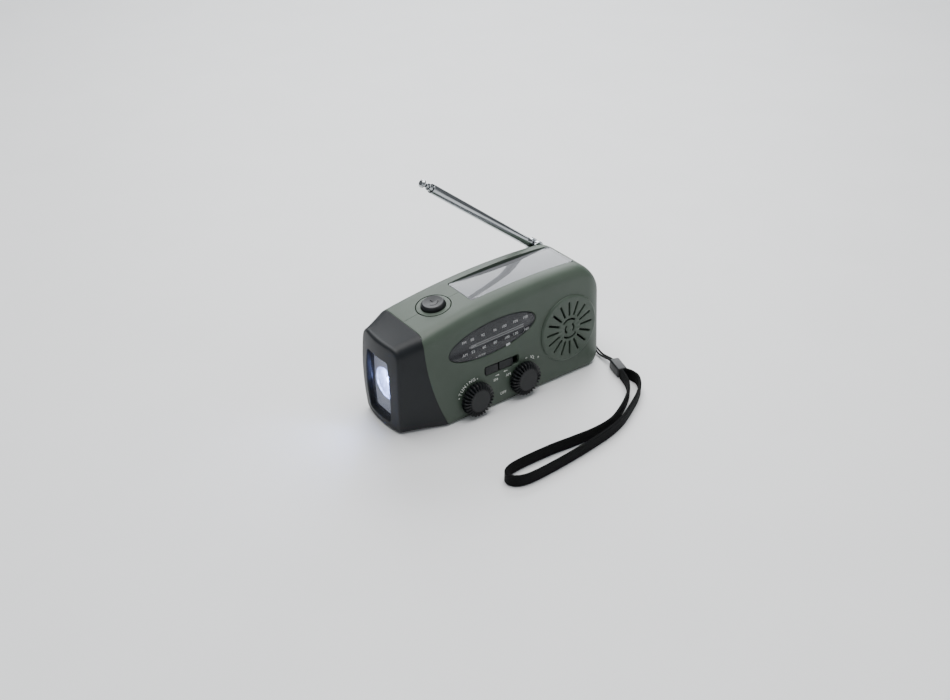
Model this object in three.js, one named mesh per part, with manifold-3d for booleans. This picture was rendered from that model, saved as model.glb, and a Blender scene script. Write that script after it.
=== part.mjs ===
// Hand-crank and solar emergency radio with a torch head, a telescopic antenna and a wrist strap.
// Millimetres, +X to the right of the dial, +Y to the back, +Z up. The origin is the centre of the underside.
import * as THREE from "three";
import { mergeVertices } from "three/addons/utils/BufferGeometryUtils.js";
import Module from "manifold-3d";

const wasm = await Module();
wasm.setup();

// ---------- driving dimensions ----------
const GAP = 0.3; // clearance between neighbouring pieces
const WALL = 2; // wall of the housing
const HEIGHT = 60.2; // highest point of the arched roof
const HALF_DEPTH = 23.16; // half the depth of the housing at its foot
const LEAN = 0.0804; // the front and back lean in by this much for each millimetre of height
const ARCH = { x: 25, run: 74, drop: 8 }; // the roof falls by drop at run from its crown at x
const NOSE_X = -62.3; // corners of the torch end
const NOSE = { half: 14.8, swell: 1.8, bow: 1.4, belly: 2.4, mid: 23.7, top: 47.4 };
const SEAM = { top: -50.5, sweep: 11.5, height: 50, roof: -49.3 }; // line between torch hood and case
const END_X = 65.2; // right end
const END = { plan: 14, roof: 21.2, roofDrop: 30.6, foot: 13.2, footRise: 12 };
const TOP_RADIUS = 6.8;
const FOOT_RADIUS = 3;

const DIAL = { x: -10.2, v: 39.7, a: 26.8, b: 8.8, turn: 4.5, slot: 35, rows: 2 };
const POINTER_X = 1; // the needle's place at rest
const STRIP_V = 39.25; // the needle's slot, up the face
const KNOB = { r: 9, top: 8.3, height: 4.4, ribs: 28, hub: 5.6 };
const TUNING = { x: -22.6, v: 9.7 };
const VOLUME = { x: 7.6, v: 10.3 };
const BAND = { x: -5.6, v: 22.1, length: 21.6, width: 4.9, knob: 17.2 };
const SPEAKER = { x: 37.8, v: 28.2, r: 18.3, proud: 1, slots: 16, from: 7.2, to: 14.8, width: 1 };
const SOLAR = { x: 16.1, length: 65.2, width: 20.8, z: 58.45, tilt: 1.5 };
const LAMP = { x: -31.8, plate: 9.05, button: 6.1 };

const CRANK = { x: -6, z: 28.5, recess: 24.5, floor: 13.6, tip: 22.8, hinge: 18.6 };
const GEAR = { module: 1, crank: 28, step: 24, pinion: 8 };
const STEP_ANGLE = 165; // direction from the crank gear to the step gear
const DYNAMO_ANGLE = 200; // direction from the step gear to the dynamo
const DYNAMO_R = 8.8;

const ANTENNA = { x: 48.5, y: 21.4, z: 54.9, rest: 37.5, length: 90.4, r: 2.4 };
const LUG = { r: 4.6, low: 39, high: 45.6 };
const PORTS = { x: 38.5, z: 33, usb: -7, charge: 6.5 };
const SCREWS = [[-43, 45], [-37.5, 6.5], [57, 36], [50, 8]];
const BATTERY = { x: 23, y: 4.8, z: 9.2, r: 6.2, length: 42 };
const COVER = { x: 21, y: 5, length: 58, width: 24, thick: 1.7 };
const STRAP_PIN = { x: 60.6, y: -9, r: 1.2 };
const CORD_R = 0.55;
const WEBBING = { width: 6.2, thick: 1.5 };

// ---------- colours ----------
const GREEN = 0x4c5b4c;
const BLACK = 0x24272b;
const CHROME = 0xb9bdc2;

const rad = THREE.MathUtils.degToRad;
const finish = (color, roughness, metalness = 0) =>
  new THREE.MeshStandardMaterial({ color, roughness, metalness });

const paint = {
  green: finish(GREEN, 0.55),
  hood: finish(0x282b2f, 0.6),
  black: finish(BLACK, 0.55),
  lens: finish(0xdfe9f5, 0.05),
  reflector: finish(0xf0f2f5, 0.12, 0.9),
  led: finish(0xffffff, 0.1),
  glass: finish(0x9aa2aa, 0.05),
  cell: finish(0x2b2838, 0.3),
  smoke: finish(0x3a3c40, 0.12),
  dial: finish(0x2a2b2e, 0.6),
  white: finish(0xf2f2ee, 0.45),
  chrome: finish(CHROME, 0.18, 1),
  steel: finish(0x9a9ea3, 0.35, 1),
  board: finish(0x1f5a38, 0.5),
  gear: finish(0xe6e3d8, 0.5),
  ferrite: finish(0x2d2c2b, 0.8),
  copper: finish(0xb0623a, 0.4, 1),
  battery: finish(0x2f6f9e, 0.35),
  paper: finish(0x2f2f31, 0.9),
  rubber: finish(0x1f2123, 0.85),
  webbing: finish(0x17181a, 0.95),
};

// ---------- solids ----------
function solid(geometry) {
  const bare = geometry.index ? geometry.toNonIndexed() : geometry.clone();
  bare.deleteAttribute("normal");
  bare.deleteAttribute("uv");
  const merged = mergeVertices(bare, 1e-4);
  return new wasm.Manifold(
    new wasm.Mesh({
      numProp: 3,
      vertProperties: merged.attributes.position.array,
      triVerts: new Uint32Array(merged.index.array),
    }),
  );
}

function geometryOf(body) {
  const mesh = body.getMesh();
  const geometry = new THREE.BufferGeometry();
  geometry.setAttribute("position", new THREE.BufferAttribute(mesh.vertProperties, 3));
  geometry.setIndex(new THREE.BufferAttribute(mesh.triVerts, 1));
  const flat = geometry.toNonIndexed();
  flat.computeVertexNormals();
  return flat;
}

const join = (bodies) => bodies.reduce((sum, body) => sum.add(body));
const cut = (body, tools) => tools.reduce((rest, tool) => rest.subtract(tool), body);

const box = (x, y, z, dx, dy, dz) => solid(new THREE.BoxGeometry(dx, dy, dz).translate(x, y, z));
const boxBetween = (x0, x1, y0, y1, z0, z1) =>
  box((x0 + x1) / 2, (y0 + y1) / 2, (z0 + z1) / 2, x1 - x0, y1 - y0, z1 - z0);

// A turned piece about local Z, from a profile of [radius, height] pairs that starts and ends on the axis.
function turned(profile, segments = 24) {
  const points = profile.map(([r, h]) => new THREE.Vector2(r, h));
  return solid(new THREE.LatheGeometry(points, segments).rotateX(Math.PI / 2));
}

const rod = (r, h0, h1, segments = 20) => turned([[0, h0], [r, h0], [r, h1], [0, h1]], segments);

// A turned tube about local Z: its profile closes on itself.
function tube(inner, outer, h0, h1, segments = 20) {
  return turned([[inner, h0], [outer, h0], [outer, h1], [inner, h1], [inner, h0]], segments);
}

function plate(shape, h0, h1, curveSegments = 8) {
  const geometry = new THREE.ExtrudeGeometry(shape, { depth: h1 - h0, bevelEnabled: false, curveSegments });
  return solid(geometry.translate(0, 0, h0));
}

function ellipse(a, b, turn = 0) {
  const shape = new THREE.Shape();
  shape.absellipse(0, 0, a, b, 0, Math.PI * 2, false, rad(turn));
  return shape;
}

function roundedRect(width, height, r) {
  const shape = new THREE.Shape();
  const x = width / 2;
  const y = height / 2;
  shape.moveTo(-x + r, -y);
  shape.lineTo(x - r, -y);
  shape.absarc(x - r, -y + r, r, -Math.PI / 2, 0, false);
  shape.lineTo(x, y - r);
  shape.absarc(x - r, y - r, r, 0, Math.PI / 2, false);
  shape.lineTo(-x + r, y);
  shape.absarc(-x + r, y - r, r, Math.PI / 2, Math.PI, false);
  shape.lineTo(-x, -y + r);
  shape.absarc(-x + r, -y + r, r, Math.PI, Math.PI * 1.5, false);
  return shape;
}

function placed(body, matrix) {
  return solid(geometryOf(body).applyMatrix4(matrix));
}

const shifted = (body, x, y, z) => placed(body, new THREE.Matrix4().makeTranslation(x, y, z));

// ---------- frames ----------
// On the front face: X to the right, Y up the leaning face, Z out of it.
const leanAngle = Math.atan(LEAN);
const faceMatrix = new THREE.Matrix4()
  .makeBasis(
    new THREE.Vector3(1, 0, 0),
    new THREE.Vector3(0, Math.sin(leanAngle), Math.cos(leanAngle)),
    new THREE.Vector3(0, -Math.cos(leanAngle), Math.sin(leanAngle)),
  )
  .setPosition(0, -HALF_DEPTH, 0);
// On the back face, seen from behind: X to the left, Y up the leaning face, Z out of it.
const backMatrix = new THREE.Matrix4()
  .makeBasis(
    new THREE.Vector3(-1, 0, 0),
    new THREE.Vector3(0, -Math.sin(leanAngle), Math.cos(leanAngle)),
    new THREE.Vector3(0, Math.cos(leanAngle), Math.sin(leanAngle)),
  )
  .setPosition(0, HALF_DEPTH, 0);
// Local Z along +Y, for the crank, its gears and the screws: X stays X and local Y points down.
const backwards = (x, z) =>
  new THREE.Matrix4().makeRotationX(-Math.PI / 2).setPosition(x, 0, z);

const onFace = (body, x, v, h = 0) =>
  placed(body, faceMatrix.clone().multiply(new THREE.Matrix4().makeTranslation(x, v, h)));
const onBack = (body, x, v, h = 0) =>
  placed(body, backMatrix.clone().multiply(new THREE.Matrix4().makeTranslation(-x, v, h)));

// ---------- housing form ----------
const clamp01 = (t) => Math.min(1, Math.max(0, t));
const archZ = (x) => HEIGHT - ARCH.drop * ((x - ARCH.x) / ARCH.run) ** 2;
const seamX = (z) => SEAM.top + SEAM.sweep * (1 - z / SEAM.height) ** 2;
const halfAt = (z) => HALF_DEPTH - LEAN * z;
const quarter = (t) => 1 - Math.sqrt(1 - clamp01(t) ** 2);
const barrel = (z) => 1 - ((z - NOSE.mid) / NOSE.mid) ** 2;

function roofZ(x) {
  if (x < SEAM.roof) {
    const start = archZ(SEAM.roof);
    return start + ((NOSE.top - start) * (SEAM.roof - x)) / (SEAM.roof - NOSE_X);
  }
  return archZ(x) - END.roofDrop * quarter((x - END_X + END.roof) / END.roof);
}

function footZ(x) {
  const lift = 0.5 * clamp01((-44 - x) / 6);
  return lift + END.footRise * quarter((x - END_X + END.foot) / END.foot);
}

function sideScale(x, z) {
  const half = halfAt(z);
  const toNose = clamp01((seamX(z) - x) / (seamX(z) - NOSE_X));
  const nose = NOSE.half + NOSE.swell * barrel(z);
  const end = END.plan * quarter((x - END_X + END.plan) / END.plan);
  return (half + toNose * (nose - half) - end) / half;
}

function noseBow(x, y, z) {
  const near = clamp01((SEAM.roof - x) / (SEAM.roof - NOSE_X)) ** 2;
  return -near * (NOSE.bow * barrel(z) + NOSE.belly * (1 - (y / (NOSE.half + NOSE.swell)) ** 2));
}

// Stations along X where the section is taken: close together at both rounded ends.
function stations({ nose, flank, middle, end }) {
  const list = [NOSE_X];
  const spread = (from, to, count) => {
    for (let i = 0; i < count; i++) list.push(from + ((to - from) * i) / count);
  };
  spread(NOSE_X + 1.2, SEAM.roof, nose);
  spread(SEAM.roof, SEAM.roof + 12, flank);
  spread(SEAM.roof + 12, END_X - 20, middle);
  for (let i = 0; i <= end; i++) list.push(END_X - 20 + 20 * Math.sin((i / end) * (Math.PI / 2)));
  return list;
}

function sectionShape(inset) {
  const low = inset;
  const high = HEIGHT - inset;
  const half = (z) => halfAt(z) - inset;
  const foot = FOOT_RADIUS - inset * 0.5;
  const top = TOP_RADIUS - inset * 0.5;
  const sideSteps = inset ? [0.5] : [0.25, 0.5, 0.75];
  const shape = new THREE.Shape();
  shape.moveTo(-half(low) + foot, low);
  shape.lineTo(half(low) - foot, low);
  shape.quadraticCurveTo(half(low), low, half(low + foot), low + foot);
  for (const share of sideSteps) {
    const z = low + foot + share * (high - top - low - foot);
    shape.lineTo(half(z), z);
  }
  shape.lineTo(half(high - top), high - top);
  shape.quadraticCurveTo(half(high), high, half(high) - top, high);
  shape.lineTo(0, high);
  shape.lineTo(-half(high) + top, high);
  shape.quadraticCurveTo(-half(high), high, -half(high - top), high - top);
  for (const share of sideSteps.toReversed()) {
    const z = low + foot + share * (high - top - low - foot);
    shape.lineTo(-half(z), z);
  }
  shape.lineTo(-half(low + foot), low + foot);
  shape.quadraticCurveTo(-half(low), low, -half(low) + foot, low);
  return shape;
}

function housingForm(inset, counts, curveSegments) {
  const along = stations(counts);
  const steps = along.length - 1;
  const geometry = new THREE.ExtrudeGeometry(sectionShape(inset), {
    depth: steps,
    steps,
    bevelEnabled: false,
    curveSegments,
  });
  const points = geometry.attributes.position;
  const shrink = 1 - inset / 64;
  for (let i = 0; i < points.count; i++) {
    const station = Math.round(points.getZ(i));
    const x = along[station];
    const edge = station === 0 ? 0.93 : 1;
    const level = NOSE.mid + (points.getY(i) - NOSE.mid) * edge;
    const z = footZ(x) + ((roofZ(x) - footZ(x)) * level) / HEIGHT;
    const upright = (halfAt(z) - inset) / (halfAt(points.getY(i)) - inset);
    const y = points.getX(i) * upright * edge * sideScale(x, z);
    points.setXYZ(i, (x + noseBow(x, y, z)) * shrink, y, z);
  }
  return solid(geometry);
}

const outerForm = housingForm(0, { nose: 4, flank: 3, middle: 8, end: 7 }, 4);
const innerForm = housingForm(WALL, { nose: 3, flank: 2, middle: 4, end: 5 }, 1);
const wallForm = outerForm.subtract(innerForm);

// The curved seam between the case and the torch hood, as a slab across the whole depth.
function headRegion(gap) {
  const shape = new THREE.Shape();
  shape.moveTo(-80, -10);
  shape.lineTo(seamX(-4) - gap, -4);
  for (let z = 0; z <= 48; z += 6) shape.lineTo(seamX(z) - gap, z);
  shape.lineTo(SEAM.roof - 0.9 - gap, 51);
  shape.lineTo(SEAM.roof - gap, 53.5);
  shape.lineTo(SEAM.roof - gap, 75);
  shape.lineTo(-80, 75);
  const geometry = new THREE.ExtrudeGeometry(shape, { depth: 80, bevelEnabled: false });
  return solid(geometry.translate(0, 0, -40).rotateX(Math.PI / 2));
}

const head = headRegion(GAP / 2);
const caseRegion = boxBetween(-90, 90, -60, 60, -20, 90).subtract(headRegion(-GAP / 2));
const frontHalf = boxBetween(-90, 90, -60, -GAP / 2, -20, 90);
const backHalf = boxBetween(-90, 90, GAP / 2, 60, -20, 90);

// ---------- solar window, lamp button and strap pocket: cut from both halves ----------
const solarMatrix = new THREE.Matrix4()
  .makeRotationY(-rad(SOLAR.tilt))
  .setPosition(SOLAR.x, 0, SOLAR.z);
const solarPocket = placed(plate(roundedRect(SOLAR.length, SOLAR.width, 1.2), -3.9, 8, 2), solarMatrix);
const solarTray = placed(plate(roundedRect(SOLAR.length + 4, SOLAR.width + 4, 2), -5.4, 8, 2), solarMatrix);

const lampTilt = Math.atan((2 * ARCH.drop * (ARCH.x - LAMP.x)) / ARCH.run ** 2);
const lampMatrix = new THREE.Matrix4().makeRotationY(-lampTilt).setPosition(LAMP.x, 0, archZ(LAMP.x));
const lampHole = placed(rod(LAMP.plate, -4, 4, 32), lampMatrix);

const coverHole = boxBetween(
  COVER.x - COVER.length / 2,
  COVER.x + COVER.length / 2,
  COVER.y - COVER.width / 2,
  COVER.y + COVER.width / 2,
  -2,
  WALL + 1,
);

const strapBlock = boxBetween(54.5, 70, -15, -3, -2, 12.4).intersect(outerForm);
const strapPocket = boxBetween(57, 70, -12.6, -5.4, 3.6, 9.6);
const strapPinHole = shifted(rod(STRAP_PIN.r + GAP, 1.8, 11.4, 12), STRAP_PIN.x, STRAP_PIN.y, 0);

const bothCuts = [solarPocket, lampHole, coverHole];
const shellBody = wallForm.add(solarTray.intersect(outerForm)).intersect(caseRegion);

// ---------- front shell ----------
function speakerCuts() {
  const slot = boxBetween(SPEAKER.from, SPEAKER.to, -SPEAKER.width / 2, SPEAKER.width / 2, -6, 4);
  const cuts = [];
  for (let i = 0; i < SPEAKER.slots; i++) {
    const turn = new THREE.Matrix4().makeRotationZ((i * 2 * Math.PI) / SPEAKER.slots);
    cuts.push(placed(slot, turn));
  }
  for (const [r, start] of [[5.3, 45], [5.3, 225], [2.8, 135], [2.8, 315]]) cuts.push(arcSlot(r, start, 95));
  return cuts;
}

function arcSlot(r, start, sweep) {
  const shape = new THREE.Shape();
  const from = rad(start);
  const to = rad(start + sweep);
  shape.absarc(0, 0, r + 0.45, from, to, false);
  shape.absarc(0, 0, r - 0.45, to, from, true);
  return plate(shape, -6, 4, 3);
}

function screwBoss(x, z, r, y0, y1) {
  return placed(rod(r, y0, y1, 12), backwards(x, z)).intersect(outerForm);
}

function buildFrontShell() {
  const { r, proud } = SPEAKER;
  const rim = [[0, -1.2], [r, -1.2], [r, 0.2], [r - 0.8, proud], [0, proud]];
  const bosses = SCREWS.map(([x, z]) => screwBoss(x, z, 3.2, -22, 0));
  const body = join([shellBody, onFace(turned(rim, 32), SPEAKER.x, SPEAKER.v), strapBlock, ...bosses]);
  const dial = plate(ellipse(DIAL.a, DIAL.b, DIAL.turn), -4, 4, 16);
  const band = plate(roundedRect(BAND.length, BAND.width, 1.2), -4, 4, 3);
  const cuts = [
    ...bothCuts,
    onFace(dial, DIAL.x, DIAL.v),
    onFace(band, BAND.x, BAND.v),
    onFace(rod(3.5, -4, 4), TUNING.x, TUNING.v),
    onFace(rod(3.5, -4, 4), VOLUME.x, VOLUME.v),
    ...speakerCuts().map((body) => onFace(body, SPEAKER.x, SPEAKER.v)),
    ...SCREWS.map(([x, z]) => placed(rod(1.5, -12, 2, 10), backwards(x, z))),
    strapPocket,
    strapPinHole,
  ];
  return cut(body, cuts).intersect(caseRegion).intersect(frontHalf);
}

// ---------- back shell ----------
function buildBackShell() {
  const { x, z, recess, floor } = CRANK;
  const bosses = SCREWS.map(([sx, sz]) => screwBoss(sx, sz, 4.2, 0, 24));
  const pan = placed(rod(recess + 1.8, floor - 1.8, 30, 36), backwards(x, z)).intersect(outerForm);
  const lug = shifted(rod(LUG.r, LUG.low, LUG.high, 24), ANTENNA.x, ANTENNA.y, 0);
  const arm = boxBetween(ANTENNA.x - LUG.r, ANTENNA.x + LUG.r, 15, ANTENNA.y, LUG.low, LUG.high);
  const panOuter = placed(rod(recess, floor, 40, 40), backwards(x, z));
  const coverSeat = plate(roundedRect(29, 11, 2.5), -1.5, 4, 3);
  const body = join([shellBody, ...bosses, pan, lug, arm]);
  const cuts = [
    ...bothCuts,
    panOuter,
    placed(rod(2.9, floor - 5, floor + 1, 16), backwards(x, z)),
    boxBetween(ANTENNA.x - 5.4, ANTENNA.x + 5.4, 17.1, 40, LUG.high, 70),
    shifted(rod(1.7, LUG.low - 1, LUG.high + 1, 12), ANTENNA.x, ANTENNA.y, 0),
    shifted(rod(2.8, LUG.low - 1, LUG.low + 3.3, 12), ANTENNA.x, ANTENNA.y, 0),
    onBack(coverSeat, PORTS.x, PORTS.z),
    onBack(plate(roundedRect(14.8, 7.4, 0.6), -6, 4, 2), PORTS.x + PORTS.usb, PORTS.z),
    onBack(plate(roundedRect(9.8, 4, 1.5), -6, 4, 3), PORTS.x + PORTS.charge, PORTS.z),
    ...SCREWS.map(([sx, sz]) => placed(rod(1.5, -2, 20, 10), backwards(sx, sz))),
    ...SCREWS.map(([sx, sz]) => placed(rod(3, 12, 30, 14), backwards(sx, sz))),
  ];
  return cut(body, cuts).intersect(caseRegion).intersect(backHalf);
}

// ---------- torch end ----------
function torchOutline(inset) {
  const half = 8.9 - inset;
  const low = 4.8 + inset;
  const high = 38.8 - inset;
  const mid = (low + high) / 2;
  const shape = new THREE.Shape();
  shape.moveTo(-half + 1.5, low);
  shape.lineTo(half - 1.5, low);
  shape.quadraticCurveTo(half, low, half + 0.2, low + 1.6);
  shape.quadraticCurveTo(half + 2.4, mid, half + 0.2, high - 1.6);
  shape.quadraticCurveTo(half, high, half - 1.5, high);
  shape.lineTo(-half + 1.5, high);
  shape.quadraticCurveTo(-half, high, -half - 0.2, high - 1.6);
  shape.quadraticCurveTo(-half - 2.4, mid, -half - 0.2, low + 1.6);
  shape.quadraticCurveTo(-half, low, -half + 1.5, low);
  return shape;
}

// A plate in the YZ plane between two stations of X.
function torchPlate(inset, x0, x1) {
  const upright = new THREE.Matrix4().makeBasis(
    new THREE.Vector3(0, 1, 0),
    new THREE.Vector3(0, 0, 1),
    new THREE.Vector3(1, 0, 0),
  );
  return placed(plate(torchOutline(inset), x0, x1, 5), upright);
}

const TORCH_Z = 21.8;
const LEDS = [[0, 3.9], [-3.4, -2], [3.4, -2]];
const forwards = (y, z) => new THREE.Matrix4().makeRotationY(Math.PI / 2).setPosition(0, y, z);

function buildTorchHood() {
  const tunnel = torchPlate(-1.6, -63, -54).intersect(outerForm);
  return cut(wallForm.add(tunnel), [torchPlate(0, -80, -52)]).intersect(head);
}

function buildReflector() {
  const face = torchPlate(0.4, -60.9, -59.7);
  const bowlOuter = turned(
    [[0, -60.2], [9.4, -60.2], [9.4, -59.7], [8, -55.4], [4.4, -52.2], [0, -52.2]],
    24,
  );
  const bowlInner = turned([[0, -62], [8.4, -62], [8.4, -60.1], [7, -56], [3.9, -53.4], [0, -53.4]], 24);
  const holes = LEDS.map(([y, z]) => placed(rod(2.8, -56, -50, 14), forwards(y, TORCH_Z + z)));
  const body = face.add(placed(bowlOuter, forwards(0, TORCH_Z)));
  return cut(body, [placed(bowlInner, forwards(0, TORCH_Z)), ...holes]);
}

const buildLed = () =>
  turned([[0, -57.4], [1.3, -57.1], [2.1, -56.2], [2.4, -55], [2.4, -50.6], [0, -50.6]], 14);

// ---------- knobs and switches ----------
function buildKnob() {
  const { r, top, height, ribs, hub } = KNOB;
  const outline = new THREE.Shape();
  for (let i = 0; i < ribs * 2; i++) {
    const angle = (i * Math.PI) / ribs;
    const reach = i % 2 ? r - 0.9 : r;
    outline[i ? "lineTo" : "moveTo"](reach * Math.cos(angle), reach * Math.sin(angle));
  }
  const side = top - 0.4;
  const core = [[0, -3], [3, -3], [3, 0.4], [side, 0.4], [side, height - 0.5], [hub, height], [0, height]];
  return plate(outline, 0.4, height - 1).add(turned(core, 24));
}

function buildBandSlider() {
  const top = plate(roundedRect(BAND.knob, BAND.width - 0.7, 0.9), -3.2, 0.15, 3);
  const flange = boxBetween(-9.6, 9.6, -3.2, 3.2, -3.2, -2.5);
  return cut(top.add(flange), [boxBetween(-1.6, -0.9, -4, 4, -0.7, 2)]);
}

// ---------- gears ----------
// A spur gear about local Z with straight-sided teeth, thinned for backlash.
function gear(teeth, h0, h1, bore, phase = 0) {
  const pitch = (teeth * GEAR.module) / 2;
  const tip = pitch + 0.8;
  const root = pitch - 1.05;
  const step = (2 * Math.PI) / teeth;
  const shape = new THREE.Shape();
  for (let i = 0; i < teeth; i++) {
    const mid = phase + i * step;
    const foot = 0.9 / root;
    const point = 0.28 / tip;
    const corners = [[root, mid - foot], [tip, mid - point], [tip, mid + point], [root, mid + foot]];
    for (const [r, a] of corners) {
      const go = shape.curves.length || i || r === tip ? "lineTo" : "moveTo";
      shape[go](r * Math.cos(a), r * Math.sin(a));
    }
  }
  if (bore) {
    const hole = new THREE.Path();
    hole.absarc(0, 0, bore, 0, 2 * Math.PI, true);
    shape.holes.push(hole);
  }
  return plate(shape, h0, h1, 5);
}

const centre = (from, angle, distance) => ({
  x: from.x + distance * Math.cos(rad(angle)),
  z: from.z + distance * Math.sin(rad(angle)),
});
const stepCentre = centre(CRANK, STEP_ANGLE, ((GEAR.crank + GEAR.pinion) * GEAR.module) / 2);
const dynamoCentre = centre(stepCentre, DYNAMO_ANGLE, ((GEAR.step + GEAR.pinion) * GEAR.module) / 2);

// The phase that puts a gap of a gear at the meeting line. Local Y points down, so angles turn over.
const gapAt = (angle, teeth) => -rad(angle) + Math.PI / teeth;
const toothAt = (angle) => -rad(angle);

// ---------- scene graph ----------
const radio = new THREE.Group();
const face = new THREE.Group();
const back = new THREE.Group();
faceMatrix.decompose(face.position, face.quaternion, face.scale);
backMatrix.decompose(back.position, back.quaternion, back.scale);
radio.add(face, back);

function piece(name, body, material, parent = radio) {
  const mesh = new THREE.Mesh(geometryOf(body), material);
  mesh.name = name;
  parent.add(mesh);
  return mesh;
}

function at(mesh, x, y, z) {
  mesh.position.set(x, y, z);
  return mesh;
}

function addAlong(name, body, material, x, z) {
  const mesh = piece(name, body, material);
  mesh.rotation.x = -Math.PI / 2;
  return at(mesh, x, 0, z);
}

function addHousing() {
  piece("front_shell", buildFrontShell(), paint.green);
  piece("back_shell", buildBackShell(), paint.green);
  piece("torch_hood", buildTorchHood(), paint.hood);
  const lid = boxBetween(
    -COVER.length / 2 + GAP,
    COVER.length / 2 - GAP,
    -COVER.width / 2 + GAP,
    COVER.width / 2 - GAP,
    0,
    COVER.thick,
  );
  at(piece("battery_cover", lid, paint.green), COVER.x, COVER.y, 0);
  SCREWS.forEach(([x, z], i) => {
    const profile = [[0, -8], [1.1, -7], [1.1, 12.3], [2.6, 12.3], [2.6, 13.6], [1.4, 14.3], [0, 14.3]];
    addAlong(`case_screw_${i + 1}`, turned(profile, 10), paint.steel, x, z);
  });
}

function addTorch() {
  piece("torch_lens", torchPlate(0.35, -62.9, -61.4), paint.lens);
  piece("torch_reflector", buildReflector(), paint.reflector);
  LEDS.forEach(([y, z], i) => {
    const mesh = piece(`torch_led_${i + 1}`, buildLed(), paint.led);
    mesh.rotation.y = Math.PI / 2;
    at(mesh, 0, y, TORCH_Z + z);
  });
}

function addRoof() {
  const solar = new THREE.Group();
  solarMatrix.decompose(solar.position, solar.quaternion, solar.scale);
  const lamp = new THREE.Group();
  lampMatrix.decompose(lamp.position, lamp.quaternion, lamp.scale);
  radio.add(solar, lamp);
  const cover = plate(roundedRect(SOLAR.length - 0.7, SOLAR.width - 0.7, 1), -1.8, 0, 3);
  const cell = boxBetween(-30.4, 30.4, -8.6, 8.6, -3.4, -2.1);
  piece("solar_window", cover, paint.glass, solar);
  piece("solar_cell", cell, paint.cell, solar);

  const r = LAMP.button;
  const hole = r + GAP;
  const rim = LAMP.plate - GAP;
  const ring = [[hole, 0], [hole, -3.2], [10.4, -3.2], [10.4, -2.3], [rim, -2.3], [rim, 0], [hole, 0]];
  piece("lamp_plate", turned(ring, 28), paint.green, lamp);
  const foot = [[0, -4.6], [1.5, -4.6], [1.5, -3.4], [r, -3.4]];
  const dome = [...foot, [r, 0.6], [r - 0.5, 1.2], [r - 2.2, 1.8], [0, 2.1]];
  piece("lamp_button", turned(dome, 24), paint.black, lamp);
  piece("lamp_switch", boxBetween(-3, 3, -3, 3, -9.4, -6.2), paint.black, lamp);
}

function addDial() {
  const turn = DIAL.turn;
  const window = plate(ellipse(DIAL.a - 0.35, DIAL.b - 0.35, turn), -1.7, -0.1, 16);
  at(piece("dial_window", window, paint.smoke, face), DIAL.x, DIAL.v, 0);
  const scale = plate(ellipse(DIAL.a + 1.4, DIAL.b + 1, turn), -3.2, -2.4, 16);
  const slot = boxBetween(-DIAL.slot / 2, DIAL.slot / 2, -0.9, 0.9, -4, -1);
  const slotTurned = placed(slot, new THREE.Matrix4().makeRotationZ(rad(DIAL.rows)));
  const slotHere = shifted(slotTurned, -7.5 - DIAL.x, STRIP_V - DIAL.v, 0);
  at(piece("dial_scale", scale.subtract(slotHere), paint.dial, face), DIAL.x, DIAL.v, 0);

  const needle = rod(0.65, -5.6, -2, 12).add(boxBetween(-1, 1, -1, 3.2, -5.6, -4.8));
  const pointer = piece("dial_pointer", needle, paint.white, face);
  pointer.rotation.z = rad(DIAL.rows);
  at(pointer, POINTER_X, stripV(POINTER_X), 0);

  DIAL_PULLEYS.forEach(([x, v], i) => {
    const pulley = turned([[0, -5.3], [2.3, -5.3], [1.5, -4.8], [1.5, -3.6], [2.3, -3.4], [0, -3.4]], 12);
    at(piece(`dial_pulley_${i + 1}`, pulley, paint.gear, face), x, v, 0);
  });
  piece("dial_cord", buildDialCord(), paint.webbing, face);
}

const stripV = (x) => STRIP_V + Math.tan(rad(DIAL.rows)) * (x + 7.5);
const DRUM_R = 7;
const PULLEY_R = 2.5;
const CORD_H = -4.2;
const DIAL_PULLEYS = [
  [TUNING.x - DRUM_R + PULLEY_R, stripV(TUNING.x - DRUM_R + PULLEY_R) + 2 - PULLEY_R],
  [11.9, stripV(11.9) + 2 - PULLEY_R],
  [11.9, TUNING.v - DRUM_R + PULLEY_R],
];

// The dial cord: round the drum, up over two pulleys along the scale, and back under the third.
function buildDialCord() {
  const path = new THREE.CurvePath();
  const lift = (p) => new THREE.Vector3(p.x, p.y, CORD_H);
  let last = null;
  const arc = (x, v, r, from, to) => {
    const curve = new THREE.EllipseCurve(x, v, r, r, rad(from), rad(to), true);
    const points = curve.getPoints(4).map(lift);
    if (last) path.add(new THREE.LineCurve3(last, points[0]));
    for (let i = 0; i < 4; i++) path.add(new THREE.LineCurve3(points[i], points[i + 1]));
    last = points[4];
  };
  const [left, right, low] = DIAL_PULLEYS;
  arc(TUNING.x, TUNING.v, DRUM_R, 215, 180);
  arc(left[0], left[1], PULLEY_R, 180, 90 + DIAL.rows);
  arc(right[0], right[1], PULLEY_R, 90 + DIAL.rows, 0);
  arc(low[0], low[1], PULLEY_R, 0, -90);
  arc(TUNING.x, TUNING.v, DRUM_R, 270, 235);
  const section = new THREE.Shape();
  section.absarc(0, 0, 0.28, 0, 2 * Math.PI, false);
  const options = { steps: 44, extrudePath: path, curveSegments: 3 };
  return solid(new THREE.ExtrudeGeometry(section, options));
}

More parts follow.
